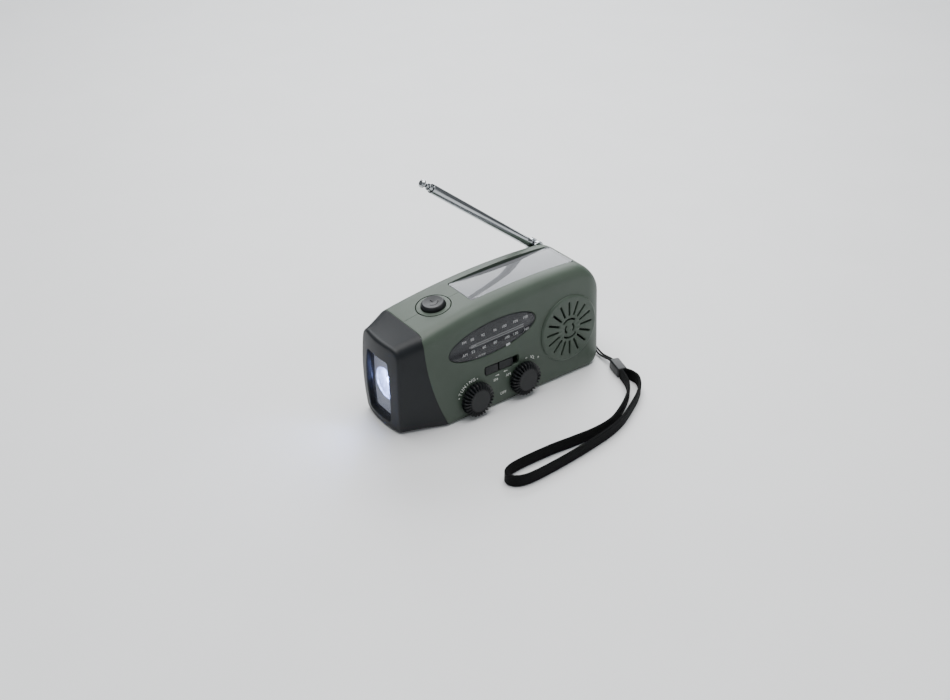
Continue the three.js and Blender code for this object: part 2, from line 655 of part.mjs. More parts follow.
function addControls() {
  const knob = buildKnob();
  const rim = DRUM_R - 0.1;
  const groove = DRUM_R - 0.7;
  const outside = [[rim, -5.4], [rim, -5], [groove, -4.6], [groove, -3.8], [rim, -3.4]];
  const drum = [[3.3, -5.4], ...outside, [3.3, -3.4], [3.3, -5.4]];
  const potBody = rod(6.2, -11.1, -5.8, 20).add(rod(2.4, -6, -3.4, 12));
  at(piece("tuning_knob", knob, paint.black, face), TUNING.x, TUNING.v, 0);
  at(piece("volume_knob", knob, paint.black, face), VOLUME.x, VOLUME.v, 0);
  at(piece("tuning_drum", turned(drum, 18), paint.gear, face), TUNING.x, TUNING.v, 0);
  at(piece("tuning_capacitor", potBody, paint.white, face), TUNING.x, TUNING.v, 0);
  at(piece("volume_control", potBody, paint.steel, face), VOLUME.x, VOLUME.v, 0);
  at(piece("band_slider", buildBandSlider(), paint.black, face), BAND.x - 1.8, BAND.v, 0);
  const lever = boxBetween(-1.2, 1.2, -1.2, 1.2, -7, -3.5);
  const switchBody = boxBetween(-8, 8, -2.6, 3.4, -11.1, -6.2).add(lever);
  at(piece("band_switch", switchBody, paint.steel, face), BAND.x, BAND.v, 0);
  at(piece("main_board", boxBetween(-33, 16, 4, 46, -12.8, -11.4), paint.board, face), 0, 0, 0);
}

function addSpeaker() {
  const outside = [[0, -9.6], [8.6, -9.6], [14.2, -4.8], [16.2, -4.8], [16.2, -3.6]];
  const frame = [...outside, [13.4, -3.6], [13.4, -4.4], [8.2, -8.8], [0, -8.8]];
  const under = [[0, -7.6], [3, -7.6], [4, -8.2], [12.8, -4.2], [12.8, -3.6]];
  const cone = [...under, [4.2, -7.5], [3.4, -6.9], [0, -6.9]];
  at(piece("speaker_frame", turned(frame, 20), paint.steel, face), SPEAKER.x, SPEAKER.v, 0);
  at(piece("speaker_cone", turned(cone, 20), paint.paper, face), SPEAKER.x, SPEAKER.v, 0);
  at(piece("speaker_magnet", rod(9, -14.4, -9.9, 24), paint.steel, face), SPEAKER.x, SPEAKER.v, 0);
}

function addInside() {
  const halfLength = BATTERY.length / 2;
  const cell = piece("battery_cell", rod(BATTERY.r, -halfLength, halfLength, 20), paint.battery);
  cell.rotation.y = Math.PI / 2;
  at(cell, BATTERY.x, BATTERY.y, BATTERY.z);
  const ferrite = piece("ferrite_rod", rod(3.4, -24, 24, 14), paint.ferrite);
  ferrite.rotation.y = Math.PI / 2;
  at(ferrite, 10, -0.4, 47.6);
  const coil = piece("ferrite_coil", tube(3.7, 4.5, -8, 8, 14), paint.copper);
  coil.rotation.y = Math.PI / 2;
  at(coil, 22, -0.4, 47.6);
  const usb = cut(boxBetween(-7.1, 7.1, -3.4, 3.4, -13, -1.8), [boxBetween(-6.3, 6.3, -2.6, 0.4, -10, 0)]);
  at(piece("usb_port", usb, paint.steel, back), -PORTS.x - PORTS.usb, PORTS.z, 0);
  const charge = cut(plate(roundedRect(9, 3.3, 1.3), -8, -1.8, 3), [boxBetween(-3.6, 3.6, -1.1, 0.3, -6, 0)]);
  at(piece("charge_port", charge, paint.steel, back), -PORTS.x - PORTS.charge, PORTS.z, 0);
  const lip = boxBetween(-14.2, -12.8, -3, 3, -0.4, 0.5);
  const flap = plate(roundedRect(28.4, 10.4, 2.2), -1.2, 0, 3).add(lip);
  at(piece("port_cover", flap, paint.rubber, back), -PORTS.x, PORTS.z, 0);
}

function addCrank() {
  const { x, z, floor } = CRANK;
  const h = floor + GAP;
  // Disc and arm. The arm points to +X and has a slot where the folded grip lies.
  const disc = rod(9.2, h, h + 4.2, 32);
  const bar = shifted(plate(roundedRect(CRANK.tip + 6, 13, 4), h, h + 4.4, 4), (CRANK.tip - 6) / 2, 0, 0);
  const slot = boxBetween(4, CRANK.hinge + 2.9, -4, 4, h - 1, h + 8);
  const axis = new THREE.Matrix4().makeRotationX(Math.PI / 2).setPosition(CRANK.hinge, 0, h + 3);
  const pinHole = placed(rod(0.9, -5.8, 5.8, 10), axis);
  addAlong("crank_arm", cut(disc.add(bar), [slot, pinHole]), paint.black, x, z);
  const drive = gear(GEAR.crank, 8.7, 11.1, 0, toothAt(STEP_ANGLE));
  addAlong("crank_gear", drive.add(rod(2.4, 5.4, floor, 16)), paint.gear, x, z);

  const pinion = gear(GEAR.pinion, 7.5, 11.1, 1.4, gapAt(STEP_ANGLE + 180, GEAR.pinion));
  const wheel = gear(GEAR.step, 5.3, 7.5, 1.4, toothAt(DYNAMO_ANGLE));
  addAlong("step_gear", pinion.add(wheel), paint.gear, stepCentre.x, stepCentre.z);
  const small = gear(GEAR.pinion, 4.9, 7.5, 0, gapAt(DYNAMO_ANGLE + 180, GEAR.pinion));
  const shaft = rod(1, -0.5, 8.2, 12);
  addAlong("dynamo_pinion", small.add(shaft), paint.gear, dynamoCentre.x, dynamoCentre.z);
  const can = cut(rod(DYNAMO_R, -6.6, 1.6, 28), [rod(1.4, -1.5, 3, 12)]);
  addAlong("dynamo", can, paint.steel, dynamoCentre.x, dynamoCentre.z);

  const sheet = boxBetween(-47, 4, 2.1, 3.5, 19, 40.3);
  const axle = placed(rod(1, 3.4, 11.4, 12), backwards(stepCentre.x, stepCentre.z));
  const holes = [
    placed(rod(1.5, 0, 6, 12), backwards(dynamoCentre.x, dynamoCentre.z)),
    placed(rod(2.8, 0, 6, 12), backwards(x, z)),
  ];
  piece("gear_plate", cut(sheet, holes).add(axle), paint.steel);

  // The folded grip lies along the arm towards the disc and turns up on its cross pin.
  const along = new THREE.Matrix4().makeRotationY(-Math.PI / 2).setPosition(CRANK.hinge, 0, h + 3);
  const block = box(0, 0, 0, 3.6, 7.4, 3.6);
  const stem = join([
    placed(rod(1.1, 1.4, 12, 12), along),
    shifted(block, CRANK.hinge, 0, h + 3),
    placed(rod(0.6, -5.6, 5.6, 10), axis),
  ]);
  addAlong("crank_stem", stem, paint.steel, x, z);
  const skin = [[1.4, 2.4], [2.5, 2.4], [2.9, 3.4], [3.1, 8], [2.9, 13.3], [2.2, 14], [0, 14]];
  const grip = turned([...skin, [0, 12.4], [1.4, 12.4], [1.4, 2.4]], 14);
  addAlong("crank_grip", placed(grip, along), paint.black, x, z);
}

function addAntenna() {
  const { x, y, z, r, length, rest } = ANTENNA;
  // The tilt axis runs along Y, through the given height.
  const crosswise = (height) => new THREE.Matrix4().makeRotationX(Math.PI / 2).setPosition(0, 0, height);
  const baseBody = join([
    rod(3.6, LUG.high + GAP, z + 1, 20),
    rod(1.3, LUG.low + 2, LUG.high + 1, 12),
    rod(2.3, LUG.low + 0.5, LUG.low + 2.9, 12),
    placed(rod(3.6, -3.5, 3.5, 20), crosswise(z)).intersect(rod(3.95, z - 5, z + 5, 24)),
  ]);
  const slot = boxBetween(-6, 6, -1.6, 1.6, z - 4, z + 8);
  const pinHole = placed(rod(1.1, -6, 6, 10), crosswise(z));
  at(piece("antenna_base", cut(baseBody, [slot, pinHole]), paint.chrome), x, y, 0);
  const rivet = join([rod(0.8, -3.7, 3.7, 12), rod(1.4, 3.6, 4, 12), rod(1.4, -4, -3.6, 12)]);
  const pin = piece("antenna_pin", rivet, paint.chrome);
  pin.rotation.x = Math.PI / 2;
  at(pin, x, y, z);

  // Local Z runs up the antenna, from the tilt pin to the tip.
  const mast = new THREE.Group();
  mast.position.set(x, y, z);
  mast.rotation.y = rad(rest - 90);
  radio.add(mast);
  const end = length - 7.6;
  const knuckle = join([
    rod(r, 4.6, 9, 16),
    boxBetween(-2.1, 2.1, -1.3, 1.3, -0.2, 6),
    placed(rod(2.1, -1.3, 1.3, 16), crosswise(0)),
  ]);
  const hole = placed(rod(1.1, -3, 3, 10), crosswise(0));
  const outer = tube(2.1, r, 8.8, end, 16);
  piece("antenna_tube_1", cut(knuckle.add(outer), [hole]), paint.chrome, mast);
  piece("antenna_tube_2", tube(1.3, 1.75, 11, end + 2.2, 12), paint.chrome, mast);
  piece("antenna_tube_3", tube(0.72, 1.05, 12.5, end + 3.8, 10), paint.chrome, mast);
  const thin = [[0, 14], [0.45, 14], [0.45, end + 5.2]];
  const cap = [[0.9, end + 5.4], [2.15, end + 5.9], [2.15, end + 6.5], [1.5, end + 7.3], [0, end + 7.6]];
  piece("antenna_rod", turned([...thin, ...cap], 12), paint.chrome, mast);
}

// ---------- strap ----------
// The thin cord: from the bead, round the pin in the case, and back into the bead.
const CORD_ROUTE = [
  [61.6, -30.9, 2.9], [62.4, -27.5, 2.6], [62.6, -23.5, 1.9], [62.9, -19.5, 1.5], [63.6, -16, 1.9],
  [63.7, -13.4, 3.4], [62.9, -11.4, 5], [61, -11.05, 5.9], [59, -10.3, 6.4], [58.55, -9, 6.6],
  [59, -7.6, 6.6], [60.7, -6.9, 6.4], [62.7, -7.5, 5.8], [64.4, -9.6, 4.9], [65.2, -12.3, 3.4],
  [65.2, -15.8, 2], [64.6, -19.8, 1.5], [64.3, -23.6, 1.9], [64.0, -27.3, 2.6], [63.3, -30.7, 2.9],
];
const BEAD = { from: [62.4, -30.9], to: [58.8, -42.1], width: 5.4, height: 5.6 };
// The webbing stands on its edge: out of the bead, along the outer run, round the fold, and back.
const LOOP_ROUTE = [
  [59.6, -42.6], [60.9, -46.6], [60.6, -51.4], [56.6, -57.2], [50.8, -61.9], [44, -66], [31.2, -72.6],
  [19.9, -76.2], [7, -78.3], [-8.9, -80], [-24.1, -81], [-35.5, -81], [-41.4, -79], [-43.5, -75.4],
  [-41.4, -72], [-33.5, -70.2], [-14.5, -70.4], [-1.6, -71.6], [12.2, -72.5], [24.6, -71.1],
  [36.5, -65.6], [45.8, -59.6], [50.8, -54.9], [54.6, -49.4], [57.4, -42.4],
];

function addStrap() {
  const pin = rod(STRAP_PIN.r, 2.1, 11.1, 12);
  at(piece("strap_pin", pin, paint.steel), STRAP_PIN.x, STRAP_PIN.y, 0);

  const cordPath = new THREE.CatmullRomCurve3(CORD_ROUTE.map((p) => new THREE.Vector3(...p)));
  const round = new THREE.Shape();
  round.absarc(0, 0, CORD_R, 0, 2 * Math.PI, false);
  const cord = new THREE.ExtrudeGeometry(round, { steps: 36, extrudePath: cordPath, curveSegments: 4 });
  piece("strap_cord", solid(cord), paint.webbing);

  const [x0, y0] = BEAD.from;
  const [x1, y1] = BEAD.to;
  const length = Math.hypot(x1 - x0, y1 - y0);
  const block = plate(roundedRect(length - 0.6, BEAD.width, 1), 0.1, BEAD.height, 3);
  const bead = piece("strap_bead", block, paint.black);
  bead.rotation.z = Math.atan2(y1 - y0, x1 - x0);
  at(bead, (x0 + x1) / 2, (y0 + y1) / 2, 0);

  const middle = WEBBING.width / 2 + 0.15;
  const loopPath = new THREE.CatmullRomCurve3(LOOP_ROUTE.map(([x, y]) => new THREE.Vector3(x, y, middle)));
  const a = WEBBING.width / 2;
  const b = WEBBING.thick / 2;
  const c = 0.3;
  const underside = [[-a, -b + c], [-a + c, -b], [a - c, -b], [a, -b + c]];
  const topside = [[a, b - c], [a - c, b], [-a + c, b], [-a, b - c]];
  const flat = new THREE.Shape([...underside, ...topside].map(([u, w]) => new THREE.Vector2(u, w)));
  const loop = new THREE.ExtrudeGeometry(flat, { steps: 48, extrudePath: loopPath });
  piece("strap_loop", solid(loop), paint.webbing);
}

addHousing();
addTorch();
addRoof();
addDial();
addControls();
addSpeaker();
addInside();
addCrank();
addAntenna();
addStrap();

export default radio;
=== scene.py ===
from math import atan, atan2, cos, hypot, pi, radians, sin, sqrt, tau

import bmesh
import bpy
from mathutils import Matrix, Vector


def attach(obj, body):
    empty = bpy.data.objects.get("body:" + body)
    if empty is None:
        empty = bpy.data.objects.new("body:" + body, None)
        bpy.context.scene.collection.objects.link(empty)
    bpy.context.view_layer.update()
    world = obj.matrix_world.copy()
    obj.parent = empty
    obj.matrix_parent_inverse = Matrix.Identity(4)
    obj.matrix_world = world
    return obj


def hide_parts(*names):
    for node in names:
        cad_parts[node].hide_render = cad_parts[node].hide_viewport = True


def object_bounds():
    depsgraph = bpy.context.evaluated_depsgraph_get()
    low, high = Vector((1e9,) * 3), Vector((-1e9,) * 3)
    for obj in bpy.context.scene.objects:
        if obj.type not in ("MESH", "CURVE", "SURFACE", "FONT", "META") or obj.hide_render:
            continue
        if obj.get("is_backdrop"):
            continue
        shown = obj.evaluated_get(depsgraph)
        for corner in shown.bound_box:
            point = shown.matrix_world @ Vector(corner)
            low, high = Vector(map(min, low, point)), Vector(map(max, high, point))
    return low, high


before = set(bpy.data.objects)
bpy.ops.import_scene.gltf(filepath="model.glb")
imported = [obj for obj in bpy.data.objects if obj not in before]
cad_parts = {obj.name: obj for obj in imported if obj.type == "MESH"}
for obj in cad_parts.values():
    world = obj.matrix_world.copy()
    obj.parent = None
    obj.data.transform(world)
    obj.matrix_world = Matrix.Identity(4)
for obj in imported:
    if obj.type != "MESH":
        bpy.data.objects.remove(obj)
cad_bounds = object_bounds()

# Lengths are in millimetres until a piece is finished. +X runs to the speaker end, +Y to the back, +Z up.
MM = 0.001

# ---------- form of the case ----------
HEIGHT = 60.2
HALF_DEPTH = 23.16
LEAN = 0.0804
WALL = 2
ARCH_X, ARCH_RUN, ARCH_DROP = 25, 74, 8
NOSE_X, NOSE_HALF, NOSE_SWELL = -62.3, 14.8, 1.8
NOSE_BOW, NOSE_BELLY, NOSE_MID, NOSE_TOP = 1.4, 2.4, 23.7, 47.4
SEAM_X, SEAM_SWEEP, SEAM_HEIGHT, SEAM_ROOF = -50.5, 11.5, 50, -49.3
END_X, END_PLAN, END_ROOF, END_DROP, END_FOOT, END_RISE = 65.2, 14, 21.2, 30.6, 13.2, 12
TOP_RADIUS, FOOT_RADIUS = 6.8, 3
HALF_GAP = 0.03
LIP = 0.3  # rolled edge along every joint between shells
ROLL = 0.12  # how far it rolls in

# ---------- places on the front, in its own plane ----------
DIAL = {"x": -10.2, "v": 39.7, "a": 26.8, "b": 8.8, "turn": 4.5}
BAND = {"x": -5.6, "v": 22.1, "length": 21.6, "width": 4.9}
TUNING = (-22.6, 9.7)
VOLUME = (7.6, 10.3)
SPEAKER = {"x": 37.8, "v": 28.2, "r": 18.3}
STRIP_V = 39.25
ROW_X = -7.5  # where the heights of the dial's rows are given
ROW_TURN = 2  # the dial's rows climb by this many degrees

# ---------- roof, back and underside ----------
SOLAR = {"x": 16.1, "z": 58.45, "length": 65.2, "width": 20.8, "tilt": 1.5}
LAMP = {"x": -31.8, "plate": 9.05, "button": 6.1}
CRANK = {"x": -6, "z": 28.5, "recess": 24.5, "floor": 13.6, "tip": 22.8, "hinge": 18.6}
PORTS = {"x": 38.5, "z": 33}
SCREWS = [(-43, 45), (-37.5, 6.5), (57, 36), (50, 8)]
COVER = {"x": 21, "y": 5, "length": 58, "width": 24}
ANTENNA = {"x": 48.5, "y": 21.4, "z": 54.9, "rest": 37.5, "length": 90.4, "r": 2.4}
LUG = {"r": 4.6, "low": 39, "high": 45.6}


# ---------- camera, light and floor ----------
def add_camera():
    data = bpy.data.cameras.new("camera")
    data.sensor_width = 36
    data.lens = 40.645
    camera = bpy.data.objects.new("camera", data)
    camera.location = (-0.28162, -0.37508, 0.31595)
    backwards = Vector((-0.49891, -0.68077, 0.53632))
    camera.rotation_euler = backwards.to_track_quat("Z", "Y").to_euler()
    bpy.context.collection.objects.link(camera)
    bpy.context.scene.camera = camera


def add_area_light(name, place, target, size, power, colour):
    data = bpy.data.lights.new(name, "AREA")
    data.shape = "RECTANGLE"
    data.size, data.size_y = size
    data.energy = power
    data.color = colour
    light = bpy.data.objects.new(name, data)
    light.location = place
    light.rotation_euler = (Vector(place) - Vector(target)).to_track_quat("Z", "Y").to_euler()
    bpy.context.collection.objects.link(light)


def add_studio():
    add_area_light("overhead_softbox", (0.05, 0.1, 1.1), (0, 0, 0), (1.2, 0.8), 19, (1, 0.99, 0.98))
    add_area_light("back_softbox", (0.65, 0.88, 0.72), (0, 0, 0.05), (1.1, 0.7), 16, (0.96, 0.98, 1))
    add_area_light("left_fill", (-0.9, -0.5, 0.5), (0, 0, 0.02), (0.6, 0.6), 0.8, (0.9, 0.95, 1))
    add_area_light("right_fill", (0.6, -0.9, 0.5), (0, 0, 0.03), (0.6, 0.6), 1.8, (1, 1, 1))
    world = bpy.data.worlds.new("studio")
    world.use_nodes = True
    background = world.node_tree.nodes["Background"]
    background.inputs["Color"].default_value = (0.86, 0.9, 0.93, 1)
    background.inputs["Strength"].default_value = 0.22
    bpy.context.scene.world = world


# ---------- the strap's routes, as the frame has them ----------
CORD_RADIUS = 0.55
CORD_ROUTE = [
    (61.6, -30.9, 2.9), (62.4, -27.5, 2.6), (62.6, -23.5, 1.9), (62.9, -19.5, 1.5), (63.6, -16, 1.9),
    (63.7, -13.4, 3.4), (62.9, -11.4, 5), (61, -11.05, 5.9), (59, -10.3, 6.4), (58.55, -9, 6.6),
    (59, -7.6, 6.6), (60.7, -6.9, 6.4), (62.7, -7.5, 5.8), (64.4, -9.6, 4.9), (65.2, -12.3, 3.4),
    (65.2, -15.8, 2), (64.6, -19.8, 1.5), (64.3, -23.6, 1.9), (64.0, -27.3, 2.6), (63.3, -30.7, 2.9),
]
BEAD = {"from": (62.4, -30.9), "to": (58.8, -42.1), "width": 5.4, "height": 5.6}
WEBBING = {"width": 6.2, "thick": 1.5}
LOOP_ROUTE = [
    (59.6, -42.6), (60.9, -46.6), (60.6, -51.4), (56.6, -57.2), (50.8, -61.9), (44, -66), (31.2, -72.6),
    (19.9, -76.2), (7, -78.3), (-8.9, -80), (-24.1, -81), (-35.5, -81), (-41.4, -79), (-43.5, -75.4),
    (-41.4, -72), (-33.5, -70.2), (-14.5, -70.4), (-1.6, -71.6), (12.2, -72.5), (24.6, -71.1),
    (36.5, -65.6), (45.8, -59.6), (50.8, -54.9), (54.6, -49.4), (57.4, -42.4),
]


# ---------- materials ----------
def node(tree, kind, inputs=None, **settings):
    made = tree.nodes.new(kind)
    for name, value in settings.items():
        setattr(made, name, value)
    for name, value in (inputs or {}).items():
        if isinstance(value, bpy.types.NodeSocket):
            tree.links.new(value, made.inputs[name])
        else:
            made.inputs[name].default_value = value
    return made


def shaded(colour, by):
    return tuple(min(1, c * by) for c in colour) + (1,)


def new_material(name, roughness, **sockets):
    made = bpy.data.materials.new(name)
    made.use_nodes = True
    shader = made.node_tree.nodes["Principled BSDF"]
    shader.inputs["Roughness"].default_value = roughness
    for socket, value in sockets.items():
        shader.inputs[socket.replace("_", " ")].default_value = value
    return made, made.node_tree, shader


def mottled(tree, shader, coordinates, colour, spread, size):
    """Two near shades of a colour in soft patches of about this size."""
    scale = 1 / (size * MM)
    patches = node(tree, "ShaderNodeTexNoise", {"Vector": coordinates, "Scale": scale, "Detail": 3})
    ramp = node(tree, "ShaderNodeValToRGB", {"Fac": patches.outputs["Fac"]})
    ramp.color_ramp.elements[0].color = shaded(colour, 1 - spread)
    ramp.color_ramp.elements[0].position = 0.35
    ramp.color_ramp.elements[1].color = shaded(colour, 1 + spread)
    ramp.color_ramp.elements[1].position = 0.65
    tree.links.new(ramp.outputs["Color"], shader.inputs["Base Color"])


def uneven(tree, shader, source, roughness, spread):
    band = node(tree, "ShaderNodeMapRange", {"Value": source})
    band.inputs["To Min"].default_value = roughness - spread
    band.inputs["To Max"].default_value = roughness + spread
    tree.links.new(band.outputs["Result"], shader.inputs["Roughness"])


def relief(tree, shader, source, depth, strength=1.0):
    bump = node(tree, "ShaderNodeBump", {"Height": source, "Distance": depth * MM, "Strength": strength})
    tree.links.new(bump.outputs["Normal"], shader.inputs["Normal"])


def moulded(name, colour, roughness, grain=0.35, depth=0.02, spread=0.05, **sockets):
    """Moulded plastic: a fine sparked grain, faint flow patches and uneven sheen."""
    made, tree, shader = new_material(name, roughness, **sockets)
    place = node(tree, "ShaderNodeTexCoord").outputs["Object"]
    mottled(tree, shader, place, colour, spread, 14)
    fine = node(tree, "ShaderNodeTexNoise", {"Vector": place, "Scale": 1 / (grain * MM), "Detail": 4})
    uneven(tree, shader, fine.outputs["Fac"], roughness, 0.06)
    relief(tree, shader, fine.outputs["Fac"], depth)
    return made


def plated(name, colour, roughness, smear=(900, 900, 900), depth=0.002):
    """Metal with a faint uneven polish, drawn out along the axis with the smallest smear."""
    made, tree, shader = new_material(name, roughness, Metallic=1.0)
    place = node(tree, "ShaderNodeTexCoord").outputs["Object"]
    drawn = node(tree, "ShaderNodeMapping", {"Vector": place, "Scale": smear})
    streaks = node(tree, "ShaderNodeTexNoise", {"Vector": drawn.outputs["Vector"], "Scale": 1, "Detail": 5})
    mottled(tree, shader, place, colour, 0.06, 9)
    uneven(tree, shader, streaks.outputs["Fac"], roughness, roughness * 0.4)
    relief(tree, shader, streaks.outputs["Fac"], depth)
    return made


def pane(name, tint, clear, gloss, roughness=0.03, **sockets):
    """A thin clear pane: mostly see-through, mirroring more towards grazing views."""
    made, tree, shader = new_material(name, roughness, **sockets)
    place = node(tree, "ShaderNodeTexCoord").outputs["Object"]
    mottled(tree, shader, place, tint, 0.04, 8)
    open_part = node(tree, "ShaderNodeBsdfTransparent", {"Color": clear + (1,)})
    angle = node(tree, "ShaderNodeFresnel", {"IOR": 1.5})
    share = node(tree, "ShaderNodeMapRange", {"Value": angle.outputs["Fac"]})
    share.inputs["To Min"].default_value = gloss[0]
    share.inputs["To Max"].default_value = gloss[1]
    mix = node(tree, "ShaderNodeMixShader", {"Fac": share.outputs["Result"]})
    tree.links.new(open_part.outputs["BSDF"], mix.inputs[1])
    tree.links.new(shader.outputs["BSDF"], mix.inputs[2])
    output = next(n for n in tree.nodes if n.type == "OUTPUT_MATERIAL")
    tree.links.new(mix.outputs["Shader"], output.inputs["Surface"])
    return made


def sine(tree, value, period, shift=0.0):
    scaled = node(tree, "ShaderNodeMath", operation="MULTIPLY_ADD")
    tree.links.new(value, scaled.inputs[0])
    scaled.inputs[1].default_value = tau / period
    scaled.inputs[2].default_value = shift
    wave = node(tree, "ShaderNodeMath", operation="SINE")
    tree.links.new(scaled.outputs[0], wave.inputs[0])
    return wave.outputs[0]


def paired(tree, operation, a, b):
    made = node(tree, "ShaderNodeMath", operation=operation)
    tree.links.new(a, made.inputs[0])
    tree.links.new(b, made.inputs[1])
    return made.outputs[0]


def woven(name, colour, along, across, depth):
    """Narrow woven tape: plain weave bumps from the piece's own map, in millimetres."""
    made, tree, shader = new_material(name, 0.75, Specular_IOR_Level=0.12)
    split = node(tree, "ShaderNodeSeparateXYZ", {"Vector": node(tree, "ShaderNodeTexCoord").outputs["UV"]})
    u, v = split.outputs["X"], split.outputs["Y"]
    weave = paired(tree, "MULTIPLY", sine(tree, u, along), sine(tree, v, across))
    # the colour follows the weave's bumps: painted shade in the hollows and a painted highlight on the
    # crowns
    ramp = node(tree, "ShaderNodeValToRGB", {"Fac": weave})
    ramp.color_ramp.elements[0].position = 0.0
    ramp.color_ramp.elements[0].color = shaded(colour, 0.55)
    ramp.color_ramp.elements[1].position = 0.8
    ramp.color_ramp.elements[1].color = shaded(colour, 1.7)
    tree.links.new(ramp.outputs["Color"], shader.inputs["Base Color"])
    relief(tree, shader, weave, depth, 0.9)
    return made


def twisted(name, colour):
    """Laid cord: slanting strands from the piece's own map."""
    made, tree, shader = new_material(name, 0.6, Specular_IOR_Level=0.25)
    split = node(tree, "ShaderNodeSeparateXYZ", {"Vector": node(tree, "ShaderNodeTexCoord").outputs["UV"]})
    slant = paired(tree, "ADD", split.outputs["X"], split.outputs["Y"])
    strands = sine(tree, slant, 0.58)
    # the colour follows the strands' bumps: painted shade in the grooves and a painted highlight on the
    # crowns
    ramp = node(tree, "ShaderNodeValToRGB", {"Fac": strands})
    ramp.color_ramp.elements[0].color = shaded(colour, 0.5)
    ramp.color_ramp.elements[1].color = shaded(colour, 1.6)
    tree.links.new(ramp.outputs["Color"], shader.inputs["Base Color"])
    relief(tree, shader, strands, 0.12, 0.8)
    return made


def solar_film():
    """A dark cell with fine silver fingers across it and two busbars along it."""
    made, tree, shader = new_material("solar_cell_film", 0.25, Coat_Weight=0.3)
    place = node(tree, "ShaderNodeTexCoord").outputs["Object"]
    split = node(tree, "ShaderNodeSeparateXYZ", {"Vector": place})
    fingers = sine(tree, split.outputs["X"], 1.6 * MM)
    thin = node(tree, "ShaderNodeMath", {0: fingers, 1: 0.97}, operation="GREATER_THAN")
    bars = sine(tree, split.outputs["Y"], 5.8 * MM)
    wide = node(tree, "ShaderNodeMath", {0: bars, 1: 0.985}, operation="GREATER_THAN")
    lines = paired(tree, "MAXIMUM", thin.outputs[0], wide.outputs[0])
    ramp = node(tree, "ShaderNodeValToRGB", {"Fac": lines})
    ramp.color_ramp.elements[0].color = (0.035, 0.03, 0.055, 1)
    ramp.color_ramp.elements[1].color = (0.3, 0.3, 0.33, 1)
    tree.links.new(ramp.outputs["Color"], shader.inputs["Base Color"])
    return made


def glowing(name, colour, strength, behind):
    """A lamp's clear body, which shines only in front of the plane at x = behind."""
    made, tree, shader = new_material(name, 0.15, Emission_Strength=strength)
    place = node(tree, "ShaderNodeTexCoord").outputs["Object"]
    mottled(tree, shader, place, (0.9, 0.92, 1), 0.03, 1)
    split = node(tree, "ShaderNodeSeparateXYZ", {"Vector": place})
    ahead = node(tree, "ShaderNodeMapRange", {"Value": split.outputs["X"]})
    ahead.inputs["From Min"].default_value = behind * MM
    ahead.inputs["From Max"].default_value = (behind - 0.5) * MM
    ramp = node(tree, "ShaderNodeValToRGB", {"Fac": ahead.outputs["Result"]})
    ramp.color_ramp.elements[1].color = colour + (1,)
    tree.links.new(ramp.outputs["Color"], shader.inputs["Emission Color"])
    return made


GREEN = (0.047, 0.069, 0.05)
FINISH = {
    "green": moulded("green_case", GREEN, 0.5, grain=0.32, depth=0.03),
    "hood": moulded("dark_hood_plastic", (0.0085, 0.0105, 0.013), 0.46, depth=0.03, Specular_IOR_Level=0.3),
    "black": moulded("black_plastic", (0.0075, 0.009, 0.0105), 0.42, depth=0.015, Specular_IOR_Level=0.35),
    "rubber": moulded("flap_rubber", (0.018, 0.019, 0.02), 0.75, grain=0.4, depth=0.03),
    "clear": pane("torch_pane", (0.05, 0.05, 0.06), (0.97, 0.98, 1), (0.0, 0.8)),
    "smoke": pane("smoked_pane", (0.085, 0.088, 0.096), (0.85, 0.85, 0.87), (0.42, 1.0), 0.12),
    "solar_pane": pane("solar_pane", (0.34, 0.35, 0.37), (0.8, 0.8, 0.82), (0.4, 1.0), 0.05, Metallic=0.22),
    # the reflector's emission is painted light: a bluish glow standing in for the LEDs' light falling on the
    # reflector
    "reflector": moulded("reflector_painted_glow", (0.9, 0.91, 0.94), 0.22, grain=2, depth=0.004, Metallic=0.25,
                         Emission_Color=(0.8, 0.84, 1, 1), Emission_Strength=1.1),
    "led": glowing("lit_led", (0.36, 0.47, 1), 110, -53.6),
    "cell": solar_film(),
    "dial": moulded("dial_plate_ink", (0.085, 0.088, 0.096), 0.55, grain=0.25, depth=0.01, spread=0.12),
    "print": moulded("white_print", (0.78, 0.8, 0.76), 0.6, grain=0.12, depth=0.004, spread=0.1),
    "dial_print": moulded("dial_white_print", (0.5, 0.51, 0.51), 0.6, grain=0.12, depth=0.004),
    "strip": moulded("dial_grey_strip", (0.16, 0.165, 0.17), 0.6, grain=0.2, depth=0.004),
    "white": moulded("white_plastic", (0.8, 0.8, 0.77), 0.4, grain=0.3, depth=0.01),
    "chrome": plated("bright_chrome", (0.46, 0.48, 0.5), 0.12),
    "steel": plated("zinc_steel", (0.45, 0.46, 0.48), 0.34, smear=(2600, 300, 2600)),
    "board": moulded("board_mask", (0.016, 0.11, 0.045), 0.35, grain=1.2, depth=0.02, spread=0.2),
    "gear": moulded("natural_acetal", (0.72, 0.7, 0.62), 0.45, grain=0.3, depth=0.006),
    "ferrite": moulded("sintered_ferrite", (0.028, 0.027, 0.026), 0.7, grain=0.2, depth=0.02),
    "copper": plated("enamelled_copper", (0.6, 0.24, 0.11), 0.3, smear=(6000, 300, 300), depth=0.05),
    "sleeve": moulded("battery_sleeve", (0.035, 0.17, 0.36), 0.28, grain=2, depth=0.01, spread=0.12),
    "paper": moulded("cone_paper", (0.03, 0.03, 0.031), 0.85, grain=0.5, depth=0.06, spread=0.2),
    "tape": woven("strap_tape", (0.005, 0.0055, 0.006), 1.1, 0.9, 0.2),
    "cord": twisted("strap_cord_thread", (0.014, 0.015, 0.016)),
}
